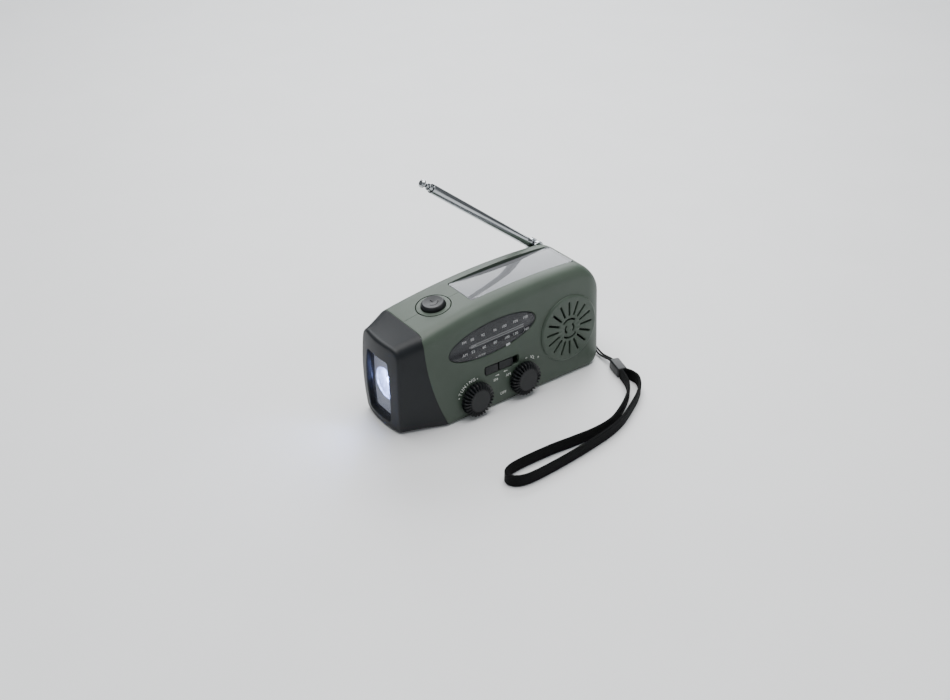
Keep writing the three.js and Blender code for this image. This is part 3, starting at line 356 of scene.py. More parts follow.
NODE_FINISH = {
    "green": ["front_shell", "back_shell", "battery_cover", "lamp_plate"],
    "hood": ["torch_hood"],
    "clear": ["torch_lens"],
    "reflector": ["torch_reflector"],
    "led": ["torch_led_1", "torch_led_2", "torch_led_3"],
    "solar_pane": ["solar_window"],
    "cell": ["solar_cell"],
    "smoke": ["dial_window"],
    "dial": ["dial_scale"],
    "white": ["dial_pointer", "tuning_capacitor"],
    "board": ["main_board"],
    "ferrite": ["ferrite_rod"],
    "copper": ["ferrite_coil"],
    "sleeve": ["battery_cell"],
    "paper": ["speaker_cone"],
    "rubber": ["port_cover"],
    "tape": ["strap_loop"],
    "cord": ["strap_cord", "dial_cord"],
    "gear": ["tuning_drum", "dial_pulley_1", "dial_pulley_2", "dial_pulley_3"]
    + ["crank_gear", "step_gear", "dynamo_pinion"],
    "black": ["tuning_knob", "volume_knob", "band_slider", "lamp_button", "lamp_switch", "strap_bead"]
    + ["crank_arm", "crank_grip"],
    "chrome": ["antenna_base", "antenna_pin", "antenna_tube_1", "antenna_tube_2", "antenna_tube_3"]
    + ["antenna_rod"],
    "steel": ["case_screw_1", "case_screw_2", "case_screw_3", "case_screw_4", "volume_control"]
    + ["band_switch", "speaker_frame", "speaker_magnet", "usb_port", "charge_port", "dynamo"]
    + ["gear_plate", "crank_stem", "strap_pin"],
}


def paint_frame():
    for finish, names in NODE_FINISH.items():
        for name in names:
            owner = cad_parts[name]
            owner.data.materials.clear()
            owner.data.materials.append(FINISH[finish])


# ---------- making pieces ----------
def placed(matrix_rows, origin):
    """A turn, given by its three axes, and a shift."""
    made = Matrix(matrix_rows).transposed().to_4x4()
    made.translation = origin
    return made


lean_angle = atan(LEAN)
FACE = placed([(1, 0, 0), (0, sin(lean_angle), cos(lean_angle)), (0, -cos(lean_angle), sin(lean_angle))],
              (0, -HALF_DEPTH, 0))
BACK = placed([(-1, 0, 0), (0, -sin(lean_angle), cos(lean_angle)), (0, cos(lean_angle), sin(lean_angle))],
              (0, HALF_DEPTH, 0))


def on_face(x, v, h=0.0, turn=0.0):
    return FACE @ Matrix.Translation((x, v, h)) @ Matrix.Rotation(radians(turn), 4, "Z")


def on_back(x, v, h=0.0):
    return BACK @ Matrix.Translation((-x, v, h))


def backwards(x, z):
    """Local Z runs along +Y, and local Y points down."""
    return Matrix.Translation((x, 0, z)) @ Matrix.Rotation(-pi / 2, 4, "X")


def arch_z(x):
    return HEIGHT - ARCH_DROP * ((x - ARCH_X) / ARCH_RUN) ** 2


lamp_tilt = atan(2 * ARCH_DROP * (ARCH_X - LAMP["x"]) / ARCH_RUN**2)
LAMP_PLACE = Matrix.Translation((LAMP["x"], 0, arch_z(LAMP["x"]))) @ Matrix.Rotation(-lamp_tilt, 4, "Y")
solar_turn = Matrix.Rotation(-radians(SOLAR["tilt"]), 4, "Y")
SOLAR_PLACE = Matrix.Translation((SOLAR["x"], 0, SOLAR["z"])) @ solar_turn


def sheet(columns, rows, place, wrap=False):
    """A grid bent into shape: the corner in column i and row j goes to place(i, j)."""
    bm = bmesh.new()
    bmesh.ops.create_grid(bm, x_segments=columns, y_segments=rows, size=1)
    for vert in bm.verts:
        i = round((vert.co.x + 1) / 2 * columns)
        j = round((vert.co.y + 1) / 2 * rows)
        vert.co = place(i % columns if wrap else i, j)
    bmesh.ops.remove_doubles(bm, verts=bm.verts[:], dist=1e-4)
    bmesh.ops.dissolve_degenerate(bm, edges=bm.edges[:], dist=1e-5)
    return bm


def closed(bm):
    """Open ends filled flat, and faces turned outwards."""
    bmesh.ops.holes_fill(bm, edges=[e for e in bm.edges if e.is_boundary])
    bmesh.ops.recalc_face_normals(bm, faces=bm.faces[:])
    return bm


def lofted(outline, levels):
    """A solid with flat ends, from the outline grown by each level's second number at its height."""
    rings = [[Vector((x, y, h)) for x, y in outline(grow)] for h, grow in levels]
    return closed(sheet(len(rings[0]), len(rings) - 1, lambda i, j: rings[j][i], wrap=True))


def eased(h0, h1, edge, steps=3):
    """Levels of a slab from h0 to h1 with both rims rounded by edge."""
    turns = [pi / 2 * k / steps for k in range(steps + 1)]
    low = [(h0 + edge * (1 - sin(a)), -edge * (1 - cos(a))) for a in reversed(turns)]
    high = [(h1 - edge * (1 - sin(a)), -edge * (1 - cos(a))) for a in turns]
    return low + high


def flared(depth, lip, rise=3.0, steps=4):
    """Levels of a cutter that leaves a rounded rim: straight below, opening out at the surface."""
    turns = [pi / 2 * k / steps for k in range(steps + 1)]
    rim = [(0.013 - lip * (1 - sin(a)), lip * (1 - cos(a))) for a in turns]
    return [(-depth, 0)] + rim + [(rise, lip)]


def oval(a, b, turn=0.0, segments=64):
    """An ellipse's outline, as a function of how much it grows."""
    def outline(grow):
        points = []
        for k in range(segments):
            angle = tau * k / segments
            x, y = (a + grow) * cos(angle), (b + grow) * sin(angle)
            points.append((x * cos(turn) - y * sin(turn), x * sin(turn) + y * cos(turn)))
        return points
    return outline


def disc(r, segments=48):
    return oval(r, r, 0.0, segments)


def rounded(width, height, radius, x=0.0, y=0.0, steps=6):
    """A rounded rectangle's outline, as a function of how much it grows."""
    def outline(grow):
        r = max(radius + grow, 0.02)
        points = []
        for corner, (sx, sy) in enumerate([(1, 1), (-1, 1), (-1, -1), (1, -1)]):
            cx = x + sx * (width / 2 + grow - r)
            cy = y + sy * (height / 2 + grow - r)
            for k in range(steps + 1):
                angle = pi / 2 * (corner + k / steps)
                points.append((cx + r * cos(angle), cy + r * sin(angle)))
        return points
    return outline


def filleted(points, radius, steps=3):
    """A turned profile with each inner corner rounded by the radius."""
    path = [Vector(p) for p in points]
    smooth = [path[0]]
    for before, corner, after in zip(path, path[1:], path[2:]):
        reach = min(radius, (corner - before).length * 0.45, (after - corner).length * 0.45)
        start = corner + (before - corner).normalized() * reach
        stop = corner + (after - corner).normalized() * reach
        for k in range(steps + 1):
            t = k / steps
            smooth.append(start * (1 - t) ** 2 + corner * 2 * t * (1 - t) + stop * t**2)
    smooth.append(path[-1])
    return smooth


def turned(points, radius=0.2, segments=48):
    """A solid of revolution about local Z from [radius, height] points."""
    bm = bmesh.new()
    profile = [bm.verts.new((p.x, 0, p.y)) for p in filleted(points, radius)]
    for a, b in zip(profile, profile[1:]):
        bm.edges.new((a, b))
    bmesh.ops.spin(bm, geom=bm.verts[:] + bm.edges[:], cent=(0, 0, 0), axis=(0, 0, 1),
                   angle=tau, steps=segments, use_merge=True)
    bmesh.ops.remove_doubles(bm, verts=bm.verts[:], dist=1e-4)
    bmesh.ops.dissolve_degenerate(bm, edges=bm.edges[:], dist=1e-5)
    bmesh.ops.recalc_face_normals(bm, faces=bm.faces[:])
    return bm


def block(x0, x1, y0, y1, z0, z1, edge=0.0):
    bm = bmesh.new()
    bmesh.ops.create_cube(bm, size=1)
    bmesh.ops.scale(bm, vec=(x1 - x0, y1 - y0, z1 - z0), verts=bm.verts[:])
    bmesh.ops.translate(bm, vec=((x0 + x1) / 2, (y0 + y1) / 2, (z0 + z1) / 2), verts=bm.verts[:])
    if edge:
        bmesh.ops.bevel(bm, geom=bm.edges[:], offset=edge, segments=3, profile=0.5,
                        affect="EDGES", material=-1)
    return bm


def moved(bm, matrix):
    bm.transform(matrix)
    if matrix.determinant() < 0:
        bmesh.ops.reverse_faces(bm, faces=bm.faces[:])
    return bm


def gathered(parts):
    """Several bodies in one mesh."""
    whole = bmesh.new()
    for part in parts:
        mesh = bpy.data.meshes.new("part")
        part.to_mesh(mesh)
        part.free()
        whole.from_mesh(mesh)
        bpy.data.meshes.remove(mesh)
    return whole


def work_object(bm, name):
    mesh = bpy.data.meshes.new(name)
    bm.to_mesh(mesh)
    bm.free()
    made = bpy.data.objects.new(name, mesh)
    bpy.context.collection.objects.link(made)
    return made


def after_modifiers(bm, modifiers):
    """The body with these (type, settings) modifiers applied."""
    work = work_object(bm, "work")
    for kind, settings in modifiers:
        modifier = work.modifiers.new(kind.lower(), kind)
        for name, value in settings.items():
            setattr(modifier, name, value)
    result = bmesh.new()
    view = bpy.context.evaluated_depsgraph_get()
    result.from_mesh(work.evaluated_get(view).to_mesh())
    mesh = work.data
    bpy.data.objects.remove(work)
    bpy.data.meshes.remove(mesh)
    return result


def combined(body, tools, operation):
    """The body joined with, cut by or kept within the tools, one boolean for each."""
    helpers = [work_object(tool, "tool") for tool in tools]
    settings = {"operation": operation, "solver": "EXACT"}
    result = after_modifiers(body, [("BOOLEAN", settings | {"object": helper}) for helper in helpers])
    for helper in helpers:
        mesh = helper.data
        bpy.data.objects.remove(helper)
        bpy.data.meshes.remove(mesh)
    return result


def finish(name, bm, material, body="case", nodes=(), sharp=32):
    """The body as a piece in metres that rides on a CAD body and stands for CAD nodes."""
    bm.transform(Matrix.Scale(MM, 4))
    mesh = bpy.data.meshes.new(name)
    bm.to_mesh(mesh)
    bm.free()
    mesh.materials.append(FINISH[material])
    mesh.shade_smooth()
    mesh.set_sharp_from_angle(angle=radians(sharp))
    made = bpy.data.objects.new(name, mesh)
    bpy.context.collection.objects.link(made)
    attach(made, body)
    if nodes:
        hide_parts(*nodes)
    return made


# ---------- the case's curved skin ----------
def unit(t):
    return min(1.0, max(0.0, t))


def quarter(t):
    return 1 - sqrt(1 - unit(t) ** 2)


def half_at(z):
    return HALF_DEPTH - LEAN * z


def barrel(z):
    return 1 - ((z - NOSE_MID) / NOSE_MID) ** 2


def seam_x(z):
    """The seam sweeps back towards the foot and steps forward under the roof's edge."""
    step = unit((z - 49.5) / 3)
    side = SEAM_X + SEAM_SWEEP * (1 - min(z, SEAM_HEIGHT) / SEAM_HEIGHT) ** 2
    return side + (SEAM_ROOF - side) * step * step * (3 - 2 * step)


def roof_z(x):
    if x < SEAM_ROOF:
        start = arch_z(SEAM_ROOF)
        return start + (NOSE_TOP - start) * (SEAM_ROOF - x) / (SEAM_ROOF - NOSE_X)
    return arch_z(x) - END_DROP * quarter((x - END_X + END_ROOF) / END_ROOF)


def foot_z(x):
    return 0.5 * unit((-44 - x) / 6) + END_RISE * quarter((x - END_X + END_FOOT) / END_FOOT)


def side_scale(x, z):
    half = half_at(z)
    to_nose = unit((seam_x(z) - x) / (seam_x(z) - NOSE_X))
    nose = NOSE_HALF + NOSE_SWELL * barrel(z)
    end = END_PLAN * quarter((x - END_X + END_PLAN) / END_PLAN)
    return (half + to_nose * (nose - half) - end) / half


def nose_bow(x, y, z):
    near = unit((SEAM_ROOF - x) / (SEAM_ROOF - NOSE_X)) ** 2
    return -near * (NOSE_BOW * barrel(z) + NOSE_BELLY * (1 - (y / (NOSE_HALF + NOSE_SWELL)) ** 2))


def skin(x, y, level):
    """A point of the upright section, carried to station x of the form."""
    z = foot_z(x) + (roof_z(x) - foot_z(x)) * level / HEIGHT
    y *= half_at(z) / half_at(level) * side_scale(x, z)
    return Vector((x + nose_bow(x, y, z), y, z))


EDGE_STEPS = [0, 0.03, 0.09, 0.18, LIP, 0.9]


def bend(a, b, c, steps):
    """A rounded corner from a towards c, drawn out to b, without its last point."""
    turns = [k / steps for k in range(steps)]
    return [a * (1 - t) ** 2 + b * 2 * t * (1 - t) + c * t**2 for t in turns]


def half_section():
    """(y, level) round one half of the section, from the foot's middle to the roof's."""
    foot, top = FOOT_RADIUS, TOP_RADIUS
    low = Vector((half_at(0) - foot, 0)), Vector((half_at(0), 0)), Vector((half_at(foot), foot))
    edge = HEIGHT - top
    roof_half = half_at(HEIGHT)
    high = Vector((half_at(edge), edge)), Vector((roof_half, HEIGHT)), Vector((roof_half - top, HEIGHT))
    start = [Vector((HALF_GAP + d, 0)) for d in EDGE_STEPS]
    stop = [Vector((HALF_GAP + d, HEIGHT)) for d in reversed(EDGE_STEPS)]
    floor = [start[-1].lerp(low[0], k / 8) for k in range(1, 8)]
    side = [low[2].lerp(high[0], k / 24) for k in range(24)]
    roof = [high[2].lerp(stop[0], k / 10) for k in range(10)]
    return start + floor + bend(*low, 8) + side + bend(*high, 10) + roof + stop


def lip_inset(distance):
    """How far the skin rolls in at a joint's edge."""
    return ROLL * (1 - sqrt(1 - (1 - unit(distance / LIP)) ** 2))


SECTION = half_section()
BODY_COLUMNS, END_COLUMNS = 64, 26
END_TURN = 20  # length of the rounded end


def case_station(column, z):
    """X of a column: the first ones follow the seam, the last ones crowd into the rounded end."""
    start = seam_x(z) + HALF_GAP
    flat_end = END_X - END_TURN
    edges = len(EDGE_STEPS)
    if column < edges:
        return start + EDGE_STEPS[column]
    if column < BODY_COLUMNS:
        share = (column - edges + 1) / (BODY_COLUMNS - edges + 1)
        return start + EDGE_STEPS[-1] + (flat_end - start - EDGE_STEPS[-1]) * share
    return flat_end + END_TURN * sin((column - BODY_COLUMNS) / END_COLUMNS * pi / 2)


def case_sheet(side, lips=True):
    """The outer skin of one half of the case; side is -1 for the front and 1 for the back."""
    lip_end = HALF_GAP + LIP

    def place(i, j):
        y, level = SECTION[j]
        x = case_station(i, level)
        for _ in range(2):
            x = case_station(i, skin(x, y, level).z)
        point = skin(x, y, level)
        if y > lip_end:
            to_side = (half_at(level) - y) / (half_at(level) - lip_end)
            y = point.y + lip_end * (1 - point.y / y) * to_side
        return Vector((point.x, side * y, point.z))

    bm = sheet(BODY_COLUMNS + END_COLUMNS, len(SECTION) - 1, place)
    if side > 0:
        bmesh.ops.reverse_faces(bm, faces=bm.faces[:])
    end_ring = [vert for vert in bm.verts if vert.co.x > END_X - 0.001]
    end_face = bmesh.ops.contextual_create(bm, geom=end_ring)["faces"][0]
    end_face.normal_update()
    if end_face.normal.x < 0:
        end_face.normal_flip()
    if not lips:
        return bm
    bm.normal_update()
    shifts = {}
    for vert in bm.verts:
        to_seam = vert.co.x - seam_x(vert.co.z) - HALF_GAP
        to_parting = abs(vert.co.y) - HALF_GAP
        shifts[vert] = max(lip_inset(to_seam), lip_inset(to_parting))
    for vert, shift in shifts.items():
        normal = vert.normal.copy()
        if abs(vert.co.y) - HALF_GAP < LIP:
            normal.y = 0
        vert.co -= normal.normalized() * shift
    return bm


def case_wall(side):
    skin_sheet = case_sheet(side)
    thick = {"thickness": WALL, "offset": -1, "use_even_offset": False, "use_quality_normals": True}
    return after_modifiers(skin_sheet, [("SOLIDIFY", thick)])


def case_solid(side, inset=0.5):
    """The form of one half filled solid, a little inside its skin."""
    bm = case_sheet(side, lips=False)
    bm.normal_update()
    for vert in bm.verts:
        vert.co -= vert.normal * inset
    return closed(bm)


# ---------- front shell ----------
def speaker_slots():
    """Sixteen spokes and two broken rings."""
    cutters = []
    spoke = rounded(7.9, 1.15, 0.5, x=11.1, steps=3)
    for k in range(16):
        cutters.append(moved(lofted(spoke, flared(6, 0.12, 1.5, 2)), Matrix.Rotation(tau * k / 16, 4, "Z")))
    for r, start in [(5.3, 45), (5.3, 225), (2.8, 135), (2.8, 315)]:
        cutters.append(arc_slot(r, radians(start), radians(95)))
    place = on_face(SPEAKER["x"], SPEAKER["v"], 1.0)
    return [moved(cutter, place) for cutter in cutters]


def arc_slot(r, start, sweep, width=1.05):
    def outline(grow):
        half = width / 2 + grow
        steps = 12
        outer = [(r + half, start + sweep * k / steps) for k in range(steps + 1)]
        inner = [(r - half, start + sweep * k / steps) for k in range(steps, -1, -1)]
        return [(radius * cos(a), radius * sin(a)) for radius, a in outer + inner]
    return lofted(outline, flared(6, 0.1, 1.5, 2))


def roof_cutters():
    solar = rounded(SOLAR["length"], SOLAR["width"], 1.2)
    pocket = moved(lofted(solar, [(-3.9, 0), (9, 0)]), SOLAR_PLACE)
    lamp = moved(lofted(disc(LAMP["plate"], 64), [(-4, 0), (4, 0)]), LAMP_PLACE)
    lid = rounded(COVER["length"], COVER["width"], 1.5, x=COVER["x"], y=-COVER["y"])
    under = moved(lofted(lid, flared(5, 0.25)), Matrix.Rotation(pi, 4, "X"))
    return [pocket, lamp, under]


def solar_tray(side):
    tray = rounded(SOLAR["length"] + 4, SOLAR["width"] + 4, 2)
    body = moved(lofted(tray, [(-5.4, 0), (8, 0)]), SOLAR_PLACE)
    return combined(body, [case_solid(side)], "INTERSECT")


def make_front_shell():
    r = SPEAKER["r"]
    rim = turned([(0, -1.6), (r, -1.6), (r, 0.35), (r - 0.9, 1), (0, 1)], 0.3, 96)
    strap_block = combined(block(54.5, 70, -15, -3, -2, 12.4), [case_solid(-1)], "INTERSECT")
    additions = [moved(rim, on_face(SPEAKER["x"], SPEAKER["v"])), strap_block, solar_tray(-1)]
    shell = combined(case_wall(-1), additions, "UNION")
    dial = lofted(oval(DIAL["a"], DIAL["b"], radians(DIAL["turn"]), 96), flared(5, 0.4))
    band = lofted(rounded(BAND["length"], BAND["width"], 1.2), flared(5, 0.3))
    knob_hole = disc(3.5)
    pocket = lofted(rounded(7.2, 6, 1.2), flared(12, 0.4, 9))
    cutters = [
        *roof_cutters(),
        moved(dial, on_face(DIAL["x"], DIAL["v"])),
        moved(band, on_face(BAND["x"], BAND["v"])),
        moved(lofted(knob_hole, [(-4, 0), (4, 0)]), on_face(*TUNING)),
        moved(lofted(knob_hole, [(-4, 0), (4, 0)]), on_face(*VOLUME)),
        moved(pocket, placed([(0, 1, 0), (0, 0, 1), (1, 0, 0)], (64, -9, 6.6))),
        gathered(speaker_slots()),
    ]
    shell = combined(shell, cutters, "DIFFERENCE")
    finish("front_shell_skin", shell, "green", nodes=["front_shell"])


# ---------- back shell ----------
def make_back_shell():
    x, z = CRANK["x"], CRANK["z"]
    pan = lofted(disc(CRANK["recess"] + 1.8, 96), [(CRANK["floor"] - 1.8, 0), (30, 0)])
    bosses = [moved(lofted(disc(4.2, 24), [(3, 0), (24, 0)]), backwards(sx, sz)) for sx, sz in SCREWS]
    inside = combined(gathered([moved(pan, backwards(x, z)), *bosses]), [case_solid(1)], "INTERSECT")
    mast_x, r = ANTENNA["x"], LUG["r"]
    lug_base = Matrix.Translation((mast_x, ANTENNA["y"], 0))
    lug = moved(lofted(disc(r, 48), eased(LUG["low"], LUG["high"], 0.5)), lug_base)
    web = block(mast_x - r, mast_x + r, 16, ANTENNA["y"], LUG["low"], LUG["high"], 0.4)
    behind = block(mast_x - 7, mast_x + 7, 15, 17.05, LUG["low"], 60)
    behind = combined(behind, [case_solid(1)], "INTERSECT")
    shell = combined(case_wall(1), [inside, solar_tray(1), web, lug, behind], "UNION")
    recess = lofted(disc(CRANK["recess"], 96), [(CRANK["floor"], 0), (40, 0)])
    groove = rounded(11, 60, 1.0, x=mast_x, y=ANTENNA["y"] + 25.7)
    seat = lofted(rounded(29, 11, 2.5), flared(1.5, 0.25))
    cutters = [
        *roof_cutters(),
        moved(recess, backwards(x, z)),
        moved(lofted(disc(2.9, 32), [(CRANK["floor"] - 5, 0), (CRANK["floor"] + 1, 0)]), backwards(x, z)),
        lofted(groove, [(LUG["high"], 0), (70, 0)]),
        moved(lofted(disc(1.7, 24), [(LUG["low"] - 1, 0), (LUG["high"] + 1, 0)]), lug_base),
        moved(seat, on_back(PORTS["x"], PORTS["z"])),
        moved(lofted(rounded(14.8, 7.4, 0.6), [(-6, 0), (1, 0)]), on_back(PORTS["x"] - 7, PORTS["z"])),
        moved(lofted(rounded(9.8, 4, 1.5), [(-6, 0), (1, 0)]), on_back(PORTS["x"] + 6.5, PORTS["z"])),
    ]
    for sx, sz in SCREWS:
        surface = half_at(sz)
        well = lofted(disc(3, 32), [(12 - surface, 0), (-0.4, 0), (0, 0.25), (4, 0.25)])
        cutters.append(moved(well, backwards(sx, sz) @ Matrix.Translation((0, 0, surface))))
    shell = combined(shell, cutters, "DIFFERENCE")
    finish("back_shell_skin", shell, "green", nodes=["back_shell"])


# ---------- torch end ----------
def window_outline():
    """The window's outline from its foot's middle, up one side, to its top's middle."""
    half, low, high = 8.9, 4.8, 38.8
    turns = [
        ((0, low), (half / 2, low), (half - 1.5, low), 8),
        ((half - 1.5, low), (half, low), (half + 0.2, low + 1.6), 6),
        ((half + 0.2, low + 1.6), (half + 2.4, (low + high) / 2), (half + 0.2, high - 1.6), 24),
        ((half + 0.2, high - 1.6), (half, high), (half - 1.5, high), 6),
        ((half - 1.5, high), (half / 2, high), (0, high), 8),
    ]
    points = [point for a, b, c, steps in turns for point in bend(Vector(a), Vector(b), Vector(c), steps)]
    return points + [Vector((0, high))]


def lengths_along(points):
    """How far along the path each of its points is."""
    lengths = [0.0]
    for a, b in zip(points, points[1:]):
        lengths.append(lengths[-1] + (b - a).length)
    return lengths


def resampled(points, count):
    """Points evenly spaced along a path."""
    lengths = lengths_along(points)
    result = []
    for k in range(count):
        want = lengths[-1] * k / (count - 1)
        index = max(i for i, length in enumerate(lengths) if length <= want + 1e-9)
        index = min(index, len(points) - 2)
        span = lengths[index + 1] - lengths[index]
        result.append(points[index].lerp(points[index + 1], (want - lengths[index]) / span))
    return result


def hood_section():
    """(y, level) round half of the hood's section, which has no parting line."""
    return [Vector((0, 0))] + [p for p in SECTION if p.x > 1.3] + [Vector((0, HEIGHT))]


def make_torch_hood():
    """One skin from the seam, along the flank, round the nose's edge, over its front and into the tunnel."""
    half = hood_section()
    count = len(half)
    ring = 2 * (count - 1)
    window = resampled(window_outline(), count)
    flank, corner, front = 16, 5, 6
    tunnel = [0.12, 0.3, 0.6, 1.5, 4, 7.5]
    radius, rim_lip, lip_depth = 1.3, 0.5, 0.6
    stop = NOSE_X + radius

    def drawn_in(edge, inset):
        """A point of the nose's outline, drawn towards the nose's middle."""
        spoke = Vector((edge.y, edge.z - NOSE_MID))
        spoke -= spoke.normalized() * inset
        return Vector((spoke.x, spoke.y + NOSE_MID))

    def on_nose(x, across):
        return Vector((x + nose_bow(x, across.x, across.y), across.x, across.y))

    def station(index, j):
        y, level = half[index]
        seam = seam_x(skin(-50, y, level).z) - HALF_GAP
        if j < len(EDGE_STEPS):
            return skin(seam - EDGE_STEPS[j], y, level)
        j -= len(EDGE_STEPS)
        if j <= flank:
            start = seam - EDGE_STEPS[-1]
            return skin(start + (stop - start) * j / flank, y, level)
        j -= flank
        edge = skin(stop, y, level)
        if j <= corner:
            turn = j / corner * pi / 2
            return on_nose(stop - radius * sin(turn), drawn_in(edge, radius * (1 - cos(turn))))
        j -= corner
        rim = drawn_in(edge, radius)
        outward = (rim - window[index]).normalized() * rim_lip
        if j <= front:
            return on_nose(NOSE_X, rim.lerp(window[index] + outward, j / front))
        depth = tunnel[j - front - 1]
        here = window[index] + outward * (1 - unit(depth / lip_depth)) ** 2
        return on_nose(NOSE_X, here) + Vector((depth, 0, 0))

    def place(i, j):
        point = station(min(i, ring - i), j)
        if i < count:
            point.y = -point.y
        return point

    rows = len(EDGE_STEPS) + flank + corner + front + len(tunnel) + 1
    bm = sheet(ring, rows - 1, place, wrap=True)
    bmesh.ops.recalc_face_normals(bm, faces=bm.faces[:])
    outward = sum((f.normal.dot(f.calc_center_median() - Vector((-55, 0, 25))) for f in bm.faces))
    if outward < 0:
        bmesh.ops.reverse_faces(bm, faces=bm.faces[:])
    bm.normal_update()
    for vert in bm.verts:
        to_seam = seam_x(vert.co.z) - HALF_GAP - vert.co.x
        if to_seam < LIP:
            vert.co -= vert.normal * lip_inset(to_seam)
    hood = after_modifiers(bm, [("SOLIDIFY", {"thickness": 1.5, "offset": -1})])
    finish("torch_hood_skin", hood, "hood", nodes=["torch_hood"])


# ---------- knobs and switch ----------
def make_knob(name, at_place, body):
    """A scalloped knob: grooves run from the skirt over the shoulder to a smooth flat centre."""
    ribs, per_rib = 28, 10
    profile = filleted([(9, 0.4), (9, 3.1), (8.3, 4.1), (6, 4.4), (0, 4.4)], 0.5, 5)
    path = resampled(profile, 36)

    def place(i, j):
        r, h = path[j]
        wave = 0.5 - 0.5 * cos(tau * i / per_rib)
        shoulder = unit((r - 5.7) / 0.7)
        cut = (1 - wave) ** 1.6 * shoulder
        sink_side = 1.0 * cut * unit((r - 7.4) / 0.8)
        sink_top = 1.5 * cut * unit((h - 2.6) / 1.2)
        angle = tau * i / (ribs * per_rib)
        r2 = max(r - sink_side, 0)
        return Vector((r2 * cos(angle), r2 * sin(angle), h - sink_top))

    top = closed(sheet(ribs * per_rib, len(path) - 1, place, wrap=True))
    boss = turned([(0, -3), (3, -3), (3, 0.6), (0, 0.6)], 0.1, 32)
    finish(name + "_moulding", moved(gathered([top, boss]), at_place), "black", body, [name])


def make_band_slider():
    """Two blocks on one slide with a step between them."""
    high = 0.15
    left = lofted(rounded(7.9, 4.2, 0.5, x=-4.65), eased(-3.2, high, 0.3))
    right = lofted(rounded(8.7, 4.2, 0.5, x=4.25), eased(-3.2, high, 0.3))
    bridge = block(-2, 1, -2, 2, -3.1, -0.8)
    flange = block(-9.6, 9.6, -3.2, 3.2, -3.2, -2.5)
    place = on_face(BAND["x"] - 1.8, BAND["v"])
    finish("band_slider_moulding", moved(gathered([left, right, bridge, flange]), place), "black", "band",
           ["band_slider"])


# ---------- dial ----------
def make_dial_window():
    outline = oval(DIAL["a"] - 0.35, DIAL["b"] - 0.35, radians(DIAL["turn"]), 96)
    window = moved(lofted(outline, eased(-1.7, -0.1, 0.35)), on_face(DIAL["x"], DIAL["v"]))
    finish("dial_window_pane", window, "smoke", nodes=["dial_window"])


def letters(text, size):
    """Flat raised letters, centred on the origin, size tall."""
    curve = bpy.data.curves.new("letters", "FONT")
    curve.body = text
    curve.size = size * 1.38
    curve.extrude = 0.015
    curve.resolution_u = 3
    curve.align_x = "CENTER"
    curve.align_y = "CENTER"
    holder = bpy.data.objects.new("letters", curve)
    bpy.context.collection.objects.link(holder)
    view = bpy.context.evaluated_depsgraph_get()
    bm = bmesh.new()
    bm.from_mesh(holder.evaluated_get(view).to_mesh())
    bpy.data.objects.remove(holder)
    bpy.data.curves.remove(curve)
    return bm


def in_row(part, x, v, h):
    """A mark at x in the dial's row of height v."""
    return moved(part, on_face(x, v + (x - ROW_X) * sin(radians(ROW_TURN)), h, ROW_TURN))


def make_dial_print():
    """Two rows of frequencies either side of a pale strip with ticks."""
    h = -0.095
    fm = list(zip([-22.7, -16.3, -9.0, -3.4, 3.6, 9.9], ["88", "92", "96", "100", "104", "108"]))
    am = list(zip([-22.6, -15.9, -9.1, -1.8, 3.5, 10.4], ["53", "60", "80", "100", "130", "160"]))
    parts = []
    for label_x, row, middle in ((-27.6, fm, 43.1), (-27.5, am, 36.3)):
        name = "FM" if row is fm else "AM"
        for x, text in [*row, (label_x, name)]:
            parts.append(in_row(letters(text, 1.55), x, middle, h))
    parts.append(moved(letters("x 10 kHz", 1.15), on_face(-18.2, 32.3, h, ROW_TURN)))
    frame_box = lofted(rounded(2.6, 1.5, 0.3), [(0, 0), (0.03, 0)])
    parts.append(moved(frame_box, on_face(-1.3, 32.3, h, ROW_TURN)))
    for k in range(6):
        tick = block(-0.12, 0.12, -0.5, 0.5, 0, 0.03)
        parts.append(in_row(tick, -24.4 + k * 0.7, STRIP_V, h))
    finish("dial_scale_print", gathered(parts), "dial_print")
    lines = [block(-16.4, 16.4, v - 0.36, v + 0.36, 0, 0.03) for v in (-0.55, 0.55)]
    finish("dial_scale_strips", in_row(gathered(lines), ROW_X, STRIP_V, h), "strip")


